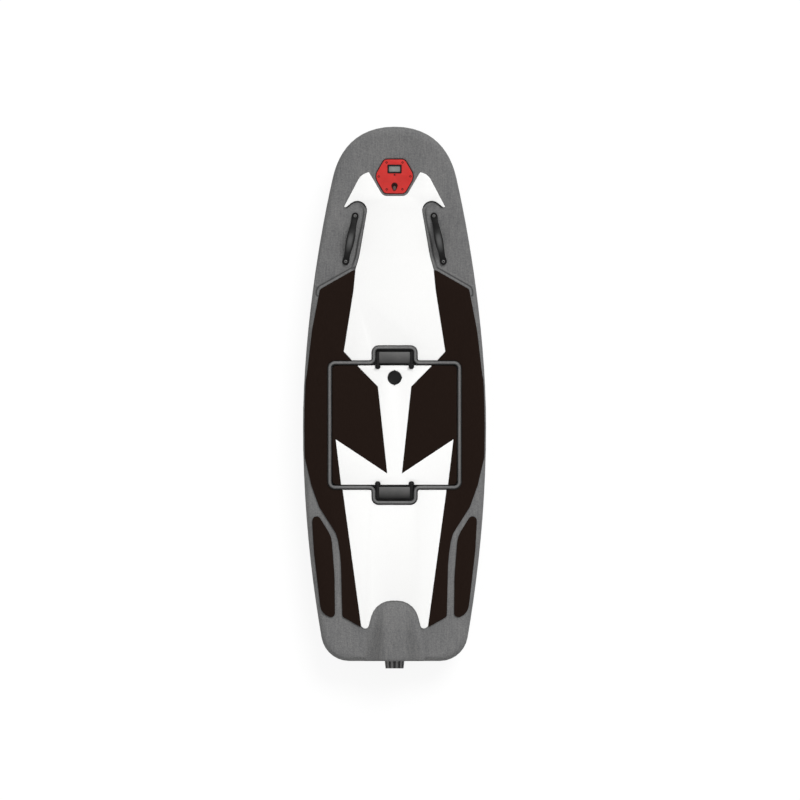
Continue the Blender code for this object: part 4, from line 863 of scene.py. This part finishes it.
# %% Bead round the hatch
COAMING_LOW, COAMING_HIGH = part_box("hatch_coaming")
COAMING_WIDTH = 0.0120
WELL_INSIDE = 0.0095
SHADOW_SEAL_WIDTH = 0.0016
SHADOW_SEAL_HEIGHT = 0.0062
SHADOW_SEAL_ROUND = SHADOW_SEAL_WIDTH * 0.3
HATCH_MIDDLE = (COAMING_LOW.y + COAMING_HIGH.y) / 2
POCKET_REACH = 0.0495
POCKET_OUTER = 0.0745
BEAD_ROUND = 0.0046
CORNER_RADII = {"nook": 0.0225, "root": 0.007, "corner": 0.0245}
CORNER_SEGMENTS = 10


def coaming_corners():
    """The twelve outer corners, each with the kind of its rounding."""
    wide = COAMING_HIGH.x
    reach = (COAMING_HIGH.y - COAMING_LOW.y) / 2
    long = reach - POCKET_REACH
    quarter = [(POCKET_OUTER, reach, "nook"), (POCKET_OUTER, long, "root"), (wide, long, "corner")]
    right = quarter + [(x, -y, kind) for x, y, kind in quarter[::-1]]
    ring = right + [(-x, y, kind) for x, y, kind in right[::-1]]
    return [(x, y + HATCH_MIDDLE, kind) for x, y, kind in ring]


def hatch_ring(name, drawn_in, width, height, rounding, material, replaces=()):
    """A ring along the hatch outline, drawn in from it by a length, with a rounded top."""
    bm = bmesh.new()
    kinds = {}
    for x, y, kind in coaming_corners():
        kinds.setdefault(kind, []).append(bm.verts.new((x, y, COAMING_LOW.z)))
    bm.faces.new(bm.verts)
    bm.normal_update()
    for kind, verts in kinds.items():
        bevelled(bm, verts, CORNER_RADII[kind], CORNER_SEGMENTS, "VERTICES", False)
    disc = bm.faces[:]
    if drawn_in:
        outer = bmesh.ops.inset_region(bm, faces=disc, thickness=drawn_in, use_boundary=True,
                                       use_even_offset=True)["faces"]
        bmesh.ops.delete(bm, geom=outer, context="FACES")
    bmesh.ops.inset_region(bm, faces=disc, thickness=width, use_boundary=True, use_even_offset=True)
    bmesh.ops.delete(bm, geom=disc, context="FACES")
    move_up(bm, bmesh.ops.extrude_face_region(bm, geom=bm.faces[:])["geom"], height)
    bmesh.ops.recalc_face_normals(bm, faces=bm.faces)
    high = COAMING_LOW.z + height - MERGE
    ease(bm, rounding, 5, wanted=lambda edge: all(vert.co.z > high for vert in edge.verts))
    return finished(name, bm, "board", material, replaces)


bead = hatch_ring("coaming_bead", SHADOW_SEAL_WIDTH + MERGE, COAMING_WIDTH - SHADOW_SEAL_WIDTH,
                  COAMING_HIGH.z - COAMING_LOW.z, BEAD_ROUND, SHELL, ["hatch_coaming"])
# The black ring is painted shadow of the joint between the bead and the pads.
hatch_ring("coaming_shadow_seal", 0.0, SHADOW_SEAL_WIDTH, SHADOW_SEAL_HEIGHT, SHADOW_SEAL_ROUND, RUBBER)

# %% [markdown]
# The bead's slopes get painted shade and its top stays clear, most of it on the side that looks sternwards,
# away from the bow lamp. The shade follows from where each point's normal looks.

# %% Painted shade on the bead's slopes
STERN_PAINTED_SHADE = 0.80
BOW_PAINTED_SHADE = 0.12
SIDE_PAINTED_SHADE = 0.45
slopes = [vertex.normal for vertex in bead.data.vertices]
# Painted shade, strongest on slopes that face the stern, away from the bow lamp.
bead_painted_shades = [STERN_PAINTED_SHADE * max(0.0, -slope.y) + BOW_PAINTED_SHADE * max(0.0, slope.y) + SIDE_PAINTED_SHADE * abs(slope.x)
              for slope in slopes]
store(bead, PAINTED_SHADE_VALUE, bead_painted_shades)
print("bead film up to", round(max(bead_painted_shades), 2))

# %% [markdown]
# ## Latch trays
# Fingers reach under a lever through a well in the deck, which is lined with a thin tray in a dark grey
# that paints the shade in the well. A tray is the well's outline with its two far corners rounded. Its
# rim is extruded upwards into a wall, the side towards the hatch stays open, and solidify gives it body.

# %% Trays in the latch wells
TRAY_INSET = 0.0004
TRAY_WALL = 0.0004
TRAY_HALF_WIDTH = POCKET_OUTER - WELL_INSIDE - TRAY_INSET
TRAY_CORNER = CORNER_RADII["nook"] - WELL_INSIDE
WELL_DEPTH = 0.026
TRAY_FLOOR = DECK_TOP - WELL_DEPTH + TRAY_INSET
TRAY_TOP = DECK_TOP - TRAY_INSET
TRAY_FAR = (COAMING_HIGH.y - COAMING_LOW.y) / 2 - WELL_INSIDE - TRAY_INSET
TRAY_NEAR = TRAY_FAR - POCKET_REACH + TRAY_INSET


def latch_tray(end, word):
    """A thin tray that lines one latch well, dark grey as painted shade."""
    bm = bmesh.new()
    near = HATCH_MIDDLE + end * TRAY_NEAR
    far = HATCH_MIDDLE + end * TRAY_FAR
    half = TRAY_HALF_WIDTH
    places = [(half, near), (half, far), (-half, far), (-half, near)]
    verts = [bm.verts.new((x, y, TRAY_FLOOR)) for x, y in places]
    bm.faces.new(verts)
    bevelled(bm, verts[1:3], TRAY_CORNER, CORNER_SEGMENTS, "VERTICES", False)
    outer = [edge for edge in bm.edges if any(abs(vert.co.y - near) > MERGE for vert in edge.verts)]
    move_up(bm, bmesh.ops.extrude_edge_only(bm, edges=outer)["geom"], TRAY_TOP - TRAY_FLOOR)
    bmesh.ops.recalc_face_normals(bm, faces=bm.faces)
    bmesh.ops.solidify(bm, geom=bm.faces[:], thickness=TRAY_WALL)
    # The tray's dark grey is painted shade in the latch well.
    return finished("latch_tray_" + word, bm, "board", TRAY_SHADE_GREY)


latch_tray(1, "fore")
latch_tray(-1, "aft")

# %% [markdown]
# ## Outlet
# The outlet is grey nylon like the levers, with painted shade in its flutes and a painted highlight on
# its ribs. The flute floors lie nearer to the axis than the ribs, so the distance from the axis tells them
# apart.

# %% Outlet finish
OUTLET_LOW, OUTLET_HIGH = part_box("nozzle")
OUTLET_AXIS = (OUTLET_LOW.z + OUTLET_HIGH.z) / 2
FLUTE_FLOOR = 0.0276
RIB_TOP = 0.0290
FLUTE_SHADE = 0.50
RIB_SHADE = 1.90


def outlet_finish():
    """Grey nylon with painted shade in its flutes and a painted highlight on its ribs."""
    made = LEVER_NYLON.copy()
    made.name = "outlet_nylon"
    tree = made.node_tree
    shader = tree.nodes["Principled BSDF"]
    grey = shader.inputs["Base Color"].links[0].from_socket
    place = tree.nodes.new("ShaderNodeTexCoord").outputs["Object"]
    centred = add_node(tree, "VectorMath", {0: place}, {1: (0.0, 0.0, OUTLET_AXIS)},
                       operation="SUBTRACT").outputs["Vector"]
    flat = add_node(tree, "VectorMath", {0: centred}, {1: (1.0, 0.0, 1.0)},
                    operation="MULTIPLY").outputs["Vector"]
    reach = add_node(tree, "VectorMath", {0: flat}, operation="LENGTH").outputs["Value"]
    # Painted shade in the flutes and a painted highlight on the ribs.
    rib = add_node(tree, "MapRange", {"Value": reach}, {
        "From Min": FLUTE_FLOOR, "From Max": RIB_TOP, "To Min": FLUTE_SHADE, "To Max": RIB_SHADE})
    shaded = add_node(tree, "VectorMath", {0: grey, "Scale": rib.outputs["Result"]}, operation="SCALE")
    tree.links.new(shaded.outputs["Vector"], shader.inputs["Base Color"])
    return made


OUTLET_NYLON = outlet_finish()
print("outlet finish:", OUTLET_NYLON.name)

# %% [markdown]
# ## Lid, gaskets and small moulded parts
# The lid, the gaskets, the brackets, the battery and the pump are right in shape already. They only need
# merged surfaces, eased edges and their finish, so one loop serves them. The list gives for each piece a
# slot name, the finish and how wide its eased edge is.

# %% Eased pieces
EASED = [
    ("hatch_lid", "black_plastic", BLACK_PLASTIC, 0.0016),
    ("hatch_gasket", "rubber", RUBBER, 0.0012),
    ("panel_gasket", "rubber", RUBBER, 0.0005),
    ("battery", "battery_case", CASE_PLASTIC, 0.0016),
    ("motor", "metal", ANODISED, 0.0012),
    ("motor_mount", "black_plastic", BLACK_PLASTIC, 0.0010),
    ("pump_housing", "metal", ANODISED, 0.0009),
    ("impeller", "metal", ANODISED, 0.0003),
    ("drive_shaft", "metal", STAINLESS, 0.0004),
    ("stator", "metal", ANODISED, 0.0003),
    ("nozzle", "lever", OUTLET_NYLON, 0.0006),
    ("intake_grate", "metal", ANODISED, 0.0007),
    ("ride_plate", "metal", ANODISED, 0.0007),
]
LATCH_SIDES = [(end, side) for end in ("fore", "aft") for side in ("left", "right")]
EASED += [("latch_%s_arm_%s" % which, "rubber", RUBBER, 0.0013) for which in LATCH_SIDES]
EASED += [("latch_%s_bracket_%s" % which, "black_plastic", BLACK_PLASTIC, 0.0005)
          for which in LATCH_SIDES]
for node, slot, material, width in EASED:
    eased_piece(node, material, width)

# %% [markdown]
# ## Screws
# Button-head screws hold the handles, the panel and the plates below. A head is a short cone whose rim is
# bevelled into a dome, with an inset top face pushed down for the driver. Moving the points of that recess
# out and in by turns makes it a six-lobe drive. A row of the table gives a head's radius, its height and
# how far it is sunk. All the heads of one group are one mesh, and each head is set on the surface that it
# clamps by a ray cast down or up on to it.

# %% Screw heads
SCREWS = {
    "handle": (0.0054, 0.0026, 0.0),
    "panel": (0.0040, 0.0016, 0.0008),
    "ride_plate": (0.0045, 0.0022, 0.0018),
    "grate": (0.0035, 0.0018, 0.0014),
}
HEAD_SIDES = 24
LOBES = 6
HEAD_TAPER = 0.86
DRIVE_INSET = 0.36
DRIVE_DEPTH = 0.6
LOBE_SWING = 0.16
DOME_SHARE = 0.22


def surface_at(node, x, y, downwards=True):
    """The point and the normal where a vertical ray meets a node."""
    sense = -1.0 if downwards else 1.0
    start = Vector((x, y, -sense * (CAD_HIGH.z + 1.0)))
    solid = solid_of(node)
    point, normal, _, _ = BVHTree.FromBMesh(solid).ray_cast(start, Vector((0.0, 0.0, sense)))
    solid.free()
    if not point:
        raise ValueError("nothing of %s at %.3f, %.3f" % (node, x, y))
    return point, normal


def screw_head(radius, height):
    """One head about the origin, as a bmesh."""
    bm = bmesh.new()
    bmesh.ops.create_cone(bm, cap_ends=True, segments=HEAD_SIDES, radius1=radius,
                          radius2=radius * HEAD_TAPER, depth=height)
    top = max(bm.faces, key=lambda face: face.calc_center_median().z)
    rim_edges = list(top.edges)
    bmesh.ops.inset_region(bm, faces=[top], thickness=radius * DRIVE_INSET)
    for number, vert in enumerate(top.verts):
        lobe = 1.0 + LOBE_SWING * math.cos(2 * math.pi * number * LOBES / HEAD_SIDES)
        vert.co.x *= lobe
        vert.co.y *= lobe
    well = bmesh.ops.extrude_face_region(bm, geom=[top])["geom"]
    bmesh.ops.delete(bm, geom=[top], context="FACES_ONLY")
    move_up(bm, well, -height * DRIVE_DEPTH)
    bevelled(bm, rim_edges, radius * DOME_SHARE, 3)
    return bm


def screw_group(name, seats, size, material):
    """All the heads of one group as one piece."""
    radius, height, sunk = SCREWS[size]
    whole = bmesh.new()
    for point, normal in seats:
        head = screw_head(radius, height)
        head.transform(standing(point, normal, height / 2 - sunk))
        draft = mesh_of("head", head)
        whole.from_mesh(draft)
        bpy.data.meshes.remove(draft)
    bmesh.ops.recalc_face_normals(whole, faces=whole.faces)
    return finished(name, whole, "board", material)


# %% [markdown]
# ## Grab handles
# Each handle is a rubber strap with a round lug at both ends and a wider, crowned grip between them. The
# frame's strap has few faces, which suits a subdivision surface: its triangles are joined into quads
# first. The grip's top gets a painted highlight, a lighter grey than its rims and slopes: a value stored
# on each point says how far up the crown it lies and how much it faces up, and the finish lightens with it.

# %% Finish of the grip
GRIP_HIGHLIGHT_VALUE = "crown"


def grip_finish():
    """Black rubber with a painted highlight: it turns grey where its crown value is high."""
    made, tree, shader, place = fresh_finish("grip_rubber", 0.5, glint=0.12)
    crown = add_node(tree, "Attribute", attribute_name=GRIP_HIGHLIGHT_VALUE).outputs["Fac"]
    fine = noise(tree, place, 800.0, 3.0, 0.6)
    colour = ramp(tree, crown, (0.0, (20, 20, 20)), (0.45, (40, 40, 40)),
                  (1.0, (92, 92, 92)))
    feed(tree, shader, colour, spread(tree, fine, 0.42, 0.62))
    bump(tree, shader, fine, 0.0003, 0.6)
    return made


GRIP_RUBBER = grip_finish()
print("grip finish:", GRIP_RUBBER.name)

# %% Handles with their screws
HANDLE_SCREWS = ((0.1288, 0.5939), (0.1596, 0.4447))
GRIP_HALF_LENGTH = 0.050
CROWN_PLACE = 0.60
CAP_RADIUS = 0.0027
CAP_LIFT = 0.0012
CAP_TAPER = 0.8
CAP_ROUND = CAP_LIFT * 0.3
GRIP_HALF_WIDTH = 0.0120
QUAD_ANGLE = math.radians(25)
QUAD_SHAPE = math.radians(60)


def painted_highlight_values(piece, side):
    """Stores the painted highlight on each point, from 0 to 1: high where the grip's crown faces up."""
    fore, aft = [Vector((side * x, y)) for x, y in HANDLE_SCREWS]
    middle = fore.lerp(aft, CROWN_PLACE)
    along = (fore - aft).normalized()
    values = []
    for vertex in piece.data.vertices:
        offset = vertex.co.xy - middle
        lengthwise = offset.dot(along) / GRIP_HALF_LENGTH
        crosswise = (offset - along * offset.dot(along)).length / GRIP_HALF_WIDTH
        top = max(0.0, vertex.normal.z)
        # Painted highlight where the grip's crown faces up.
        values.append(max(0.0, 1 - lengthwise ** 2) * max(0.0, 1 - crosswise ** 3) * top)
    store(piece, GRIP_HIGHLIGHT_VALUE, values)


def screw_caps(name, seats):
    """Small black caps that fill the drives of two screws."""
    whole = bmesh.new()
    for point, normal in seats:
        bmesh.ops.create_cone(whole, cap_ends=True, segments=20, radius1=CAP_RADIUS,
                              radius2=CAP_RADIUS * CAP_TAPER, depth=CAP_LIFT * 2,
                              matrix=standing(point, normal, CAP_LIFT))
    ease(whole, CAP_ROUND, 2)
    return finished(name, whole, "board", RUBBER)


def handle(side, word):
    """One strap, smoothed, with its crown values and two screws."""
    node = "handle_" + word
    bm = merged(node)
    bmesh.ops.join_triangles(bm, faces=bm.faces, angle_face_threshold=QUAD_ANGLE,
                             angle_shape_threshold=QUAD_SHAPE)
    draft = finished(node + "_draft", bm, "board", GRIP_RUBBER)
    rounding = draft.modifiers.new("rounding", "SUBSURF")
    rounding.levels = 2
    rounding.render_levels = 2
    piece = finished(node + "_strap", applied(draft), "board", GRIP_RUBBER, [node], math.pi)
    painted_highlight_values(piece, side)
    seats = [surface_at(node, side * x, y) for x, y in HANDLE_SCREWS]
    screw_group(node + "_screws", seats, "handle", DULLED_STEEL)
    screw_caps(node + "_screw_caps", seats)


for side, word in SIDES:
    handle(side, word)

# %% [markdown]
# ## Latches
# A latch lever is a crowned nylon plate between two rubber arms. Its edges are eased so that the crown
# reads, and it keeps the frame's shape. The plate is painted darker towards the stern, as painted shade of
# its crown turned from the bow lamp, most of it on the aft latch, whose stern edge is the outer one.

# %% Levers
LEVER_PAINTED_SHADES = {"fore": 0.58, "aft": 0.90}
LEVER_SHADE_POWER = 1.4
for end, most in LEVER_PAINTED_SHADES.items():
    piece = eased_piece("latch_%s_lever" % end, LEVER_NYLON, 0.0012, 3)
    low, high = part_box("latch_%s_lever" % end)
    sternwards = [(high.y - vertex.co.y) / (high.y - low.y) for vertex in piece.data.vertices]
    # Painted shade that grows towards the lever's stern edge.
    store(piece, PAINTED_SHADE_VALUE, [most * min(1.0, share) ** LEVER_SHADE_POWER for share in sternwards])

# %% [markdown]
# ## Instrument panel
# The red plate is chamfered and held by six screws whose heads are painted red like it, much darker, as
# painted shade of their sunk heads. The display sits in a black frame, the lamp is a small dome and the
# key socket a teardrop with a round well, dark red-brown as painted shade of the well.

# %% Panel plate and what it carries
PANEL_SCREWS = ((0.0263, 0.0457), (0.0521, 0.0), (0.0258, -0.0422))
PANEL_LOW, PANEL_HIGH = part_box("panel_plate")
PANEL_Y = (PANEL_LOW.y + PANEL_HIGH.y) / 2
PANEL_PIECES = (
    ("panel_plate", "panel_red", LACQUER, 0.0009),
    ("display_bezel", "black_plastic", BLACK_PLASTIC, 0.0006),
    ("display_screen", "screen", DISPLAY, 0.0003),
    ("indicator_lamp", "black_plastic", BLACK_PLASTIC, 0.0008),
    # The socket's dark red-brown is painted shade of its well.
    ("key_socket", "black_plastic", SOCKET_SHADE_BROWN, 0.0007),
)
for node, slot, material, width in PANEL_PIECES:
    eased_piece(node, material, width)
panel_seats = [surface_at("panel_plate", side * x, PANEL_Y + y)
               for x, y in PANEL_SCREWS for side in (1, -1)]
# The darker red of these heads is painted shade of their sunk heads.
screw_group("panel_screws", panel_seats, "panel", SCREW_SHADE_RED)

# %% [markdown]
# A grey key fills the lower half of the socket. It is a short bar with rounded ends: a cube scaled to size
# whose upright edges are bevelled until the ends are round.

# %% Key
KEY_SIZE = (0.0092, 0.0140, 0.0030)
KEY_FROM_STERN_END = 0.0085
KEY_END_ROUND = KEY_SIZE[0] * 0.48
KEY_SUNK = KEY_SIZE[2] * 0.2
BESIDE_SOCKET = 0.020
SOCKET_LOW, SOCKET_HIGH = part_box("key_socket")


def key():
    """The key's bar, lying on the socket and tilted as the plate beside it is."""
    point, normal = surface_at("panel_plate", BESIDE_SOCKET, SOCKET_LOW.y + KEY_FROM_STERN_END)
    bm = bmesh.new()
    bmesh.ops.create_cube(bm, size=1.0)
    bmesh.ops.scale(bm, verts=bm.verts, vec=KEY_SIZE)
    upright = [edge for edge in bm.edges if abs(edge.verts[0].co.z - edge.verts[1].co.z) > MERGE]
    bevelled(bm, upright, KEY_END_ROUND, 6)
    ease(bm, FINE_EDGE)
    on_socket = Vector((0.0, point.y, SOCKET_HIGH.z - KEY_SUNK))
    bm.transform(standing(on_socket, normal, 0.0))
    return finished("panel_key", bm, "board", KEY_GREY)


key()

# %% [markdown]
# ## Vent plug
# A screwed plug equalises the battery bay. It is turned, so a profile with a dished face is spun round the
# axis. A point of the profile gives its share of the radius and of the height. Three small nubs on the
# plug's rim give the fingers a hold.

# %% Turned plug
PLUG_LOW, PLUG_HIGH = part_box("vent_plug")
PLUG_CENTRE = (PLUG_LOW + PLUG_HIGH) / 2
PLUG_RADIUS = (PLUG_HIGH.x - PLUG_LOW.x) / 2
PLUG_PROFILE = (
    (0.0, 0.72), (0.74, 0.72), (0.80, 1.0), (0.93, 1.0), (1.0, 0.82), (1.0, 0.0), (0.0, 0.0))
NUB_SIZE = 0.0052
NUB_INWARDS = NUB_SIZE * 0.35
NUB_MIDDLE = 0.78
NUB_DEPTH = 0.4
NUB_TURNS = (0.0, math.radians(90), math.radians(-90))


def vent_plug():
    """The plug from a spun profile, with its nubs."""
    high = PLUG_HIGH.z - PLUG_LOW.z
    bm = bmesh.new()
    verts = [bm.verts.new((PLUG_RADIUS * out, 0.0, high * up)) for out, up in PLUG_PROFILE]
    edges = [bm.edges.new(pair) for pair in zip(verts, verts[1:])]
    bmesh.ops.spin(bm, geom=verts + edges, cent=(0, 0, 0), axis=(0, 0, 1), angle=2 * math.pi, steps=64,
                   use_merge=True)
    bmesh.ops.remove_doubles(bm, verts=bm.verts, dist=MERGE)
    bmesh.ops.recalc_face_normals(bm, faces=bm.faces)
    ease(bm, FINE_EDGE)
    for turn in NUB_TURNS:
        outwards = Matrix.Translation((PLUG_RADIUS - NUB_INWARDS, 0.0, high * NUB_MIDDLE))
        bmesh.ops.create_cone(bm, cap_ends=True, segments=4, radius1=NUB_SIZE, radius2=NUB_SIZE,
                              depth=high * NUB_DEPTH, matrix=Matrix.Rotation(turn, 4, "Z") @ outwards)
    bmesh.ops.translate(bm, verts=bm.verts, vec=(PLUG_CENTRE.x, PLUG_CENTRE.y, PLUG_LOW.z))
    return finished("vent_plug_turned", bm, "hatch", BLACK_PLASTIC, ["vent_plug"])


vent_plug()

# %% [markdown]
# ## Battery strap and connector
# The battery is lifted by a red strap and feeds the motor through a round connector. The strap's edges are
# eased a little, and its finish gives it the weave.

# %% Strap and connector
def strap():
    """The lifting strap with a soft edge."""
    bm = solid_of("battery_strap")
    ease(bm, FINE_EDGE)
    return finished("battery_strap_woven", bm, "board", WEBBING, ["battery_strap"])


strap()
eased_piece("battery_connector", BLACK_PLASTIC, 0.0012)

# %% [markdown]
# ## Screws below
# The ride plate and the intake grate are held by the same kind of screw. These are sunk until their heads
# stand out by less than half a millimetre, so that the water runs past them.

# %% Underside screws
def grid_seats(node, inset_x, inset_y, rows):
    """Seats in two columns on a node's underside."""
    low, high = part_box(node)
    seats = []
    for row in range(rows):
        y = low.y + inset_y + (high.y - low.y - 2 * inset_y) * row / (rows - 1)
        for x in (low.x + inset_x, high.x - inset_x):
            seats.append(surface_at(node, x, y, downwards=False))
    return seats


plate_seats = grid_seats("ride_plate", 0.012, 0.014, 4)
screw_group("ride_plate_screws", plate_seats, "ride_plate", STAINLESS)
grate_seats = grid_seats("intake_grate", 0.006, 0.008, 2)
screw_group("grate_screws", grate_seats, "grate", STAINLESS)

# %% [markdown]
# ## Studio
# The board lies on a plain pale floor under an even white sky and two broad soft lamps. The main lamp
# stands ahead of the bow and a little to the right, which is why each raised edge is light towards the bow
# and dark towards the stern. Sun lamps with a wide angle give that without any falloff along the board.

# %% Lamps
SKY_LEVEL = 0.46
LAMPS = (
    ("bow_lamp", (0.45, 0.90, 1.10), 2.00, 35.0),
    ("stern_lamp", (-0.60, -0.80, 1.40), 0.30, 60.0),
)


def lamp(name, towards, strength, angle):
    """A soft sun that shines from a direction."""
    light = bpy.data.lights.new(name, "SUN")
    light.energy = strength
    light.angle = math.radians(angle)
    holder = placed(name, light)
    holder.rotation_euler = Vector(towards).to_track_quat("Z", "Y").to_euler()
    return strength * Vector(towards).normalized().z / math.pi


level = SKY_LEVEL + sum(lamp(*row) for row in LAMPS)
print("light on the deck, where 1 renders a colour as written:", round(level, 3))

# %% [markdown]
# The picture has a white surround, but a sky as bright as that would wash out the dark pads. So the sky
# lights the board at its own level and shows as white only to the camera, in gloss and through glass.

# %% White surround
WHITE = (1.0, 1.0, 1.0, 1.0)


def seen_rays(tree):
    """1 for rays from the camera, from gloss and through glass."""
    path = tree.nodes.new("ShaderNodeLightPath").outputs
    seen = path["Is Camera Ray"]
    for kind in ("Is Glossy Ray", "Is Transmission Ray"):
        seen = add_node(tree, "Math", {0: seen, 1: path[kind]}, operation="MAXIMUM").outputs["Value"]
    return seen


def sky():
    """An even sky that lights at one level and shows as white."""
    world = bpy.data.worlds.new("studio_sky")
    bpy.context.scene.world = world
    world.use_nodes = True
    tree = world.node_tree
    light = tree.nodes["Background"]
    set_values(light, {"Color": WHITE, "Strength": SKY_LEVEL})
    shown = add_node(tree, "Background", values={"Color": WHITE, "Strength": 1.0})
    both = add_node(tree, "MixShader", {0: seen_rays(tree), 1: light.outputs[0], 2: shown.outputs[0]})
    tree.links.new(both.outputs[0], tree.nodes["World Output"].inputs["Surface"])


sky()

# %% [markdown]
# The floor is a large pale plane. What it throws back on to the board is its real tone, but what the camera
# sees of it is lifted to white, with only part of the shadow left, as in a picture on white paper.

# %% Floor
FLOOR_SIDE = 60.0
FLOOR_TONE = 0.62
SHOWN_TONE = 0.16
SHOWN_LIFT = 0.87


def floor():
    """A pale floor that shows as white but keeps the board's shadow, and is open from below."""
    bm = bmesh.new()
    bmesh.ops.create_grid(bm, x_segments=1, y_segments=1, size=FLOOR_SIDE / 2)
    mesh = mesh_of("studio_floor", bm)
    made = bpy.data.materials.new("studio_floor")
    made.use_nodes = True
    tree = made.node_tree
    shader = tree.nodes["Principled BSDF"]
    set_values(shader, {"Base Color": (FLOOR_TONE, FLOOR_TONE, FLOOR_TONE, 1.0), "Roughness": 0.9,
                        "Specular IOR Level": 0.0})
    faint = add_node(tree, "BsdfDiffuse", values={"Color": (SHOWN_TONE, SHOWN_TONE, SHOWN_TONE, 1.0)})
    lift = add_node(tree, "Emission", values={"Strength": SHOWN_LIFT})
    shown = add_node(tree, "AddShader", {0: faint.outputs[0], 1: lift.outputs[0]})
    lit = add_node(tree, "MixShader", {0: seen_rays(tree), 1: shader.outputs[0], 2: shown.outputs[0]})
    clear = add_node(tree, "BsdfTransparent")
    back = tree.nodes.new("ShaderNodeNewGeometry").outputs["Backfacing"]
    sided = add_node(tree, "MixShader", {0: back, 1: lit.outputs[0], 2: clear.outputs[0]})
    tree.links.new(sided.outputs[0], tree.nodes["Material Output"].inputs["Surface"])
    mesh.materials.append(made)
    placed("studio_floor", mesh)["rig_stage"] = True


floor()

# %% [markdown]
# ## Finishing
# The picture is shown without any tone curve, so that a colour looks as it was written. The box of the
# finished board is printed, to set beside the frame's box printed at the start.

bpy.context.scene.view_settings.view_transform = "Standard"
low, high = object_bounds()
print("finished box", [round(value, 4) for value in (*low, *high)])
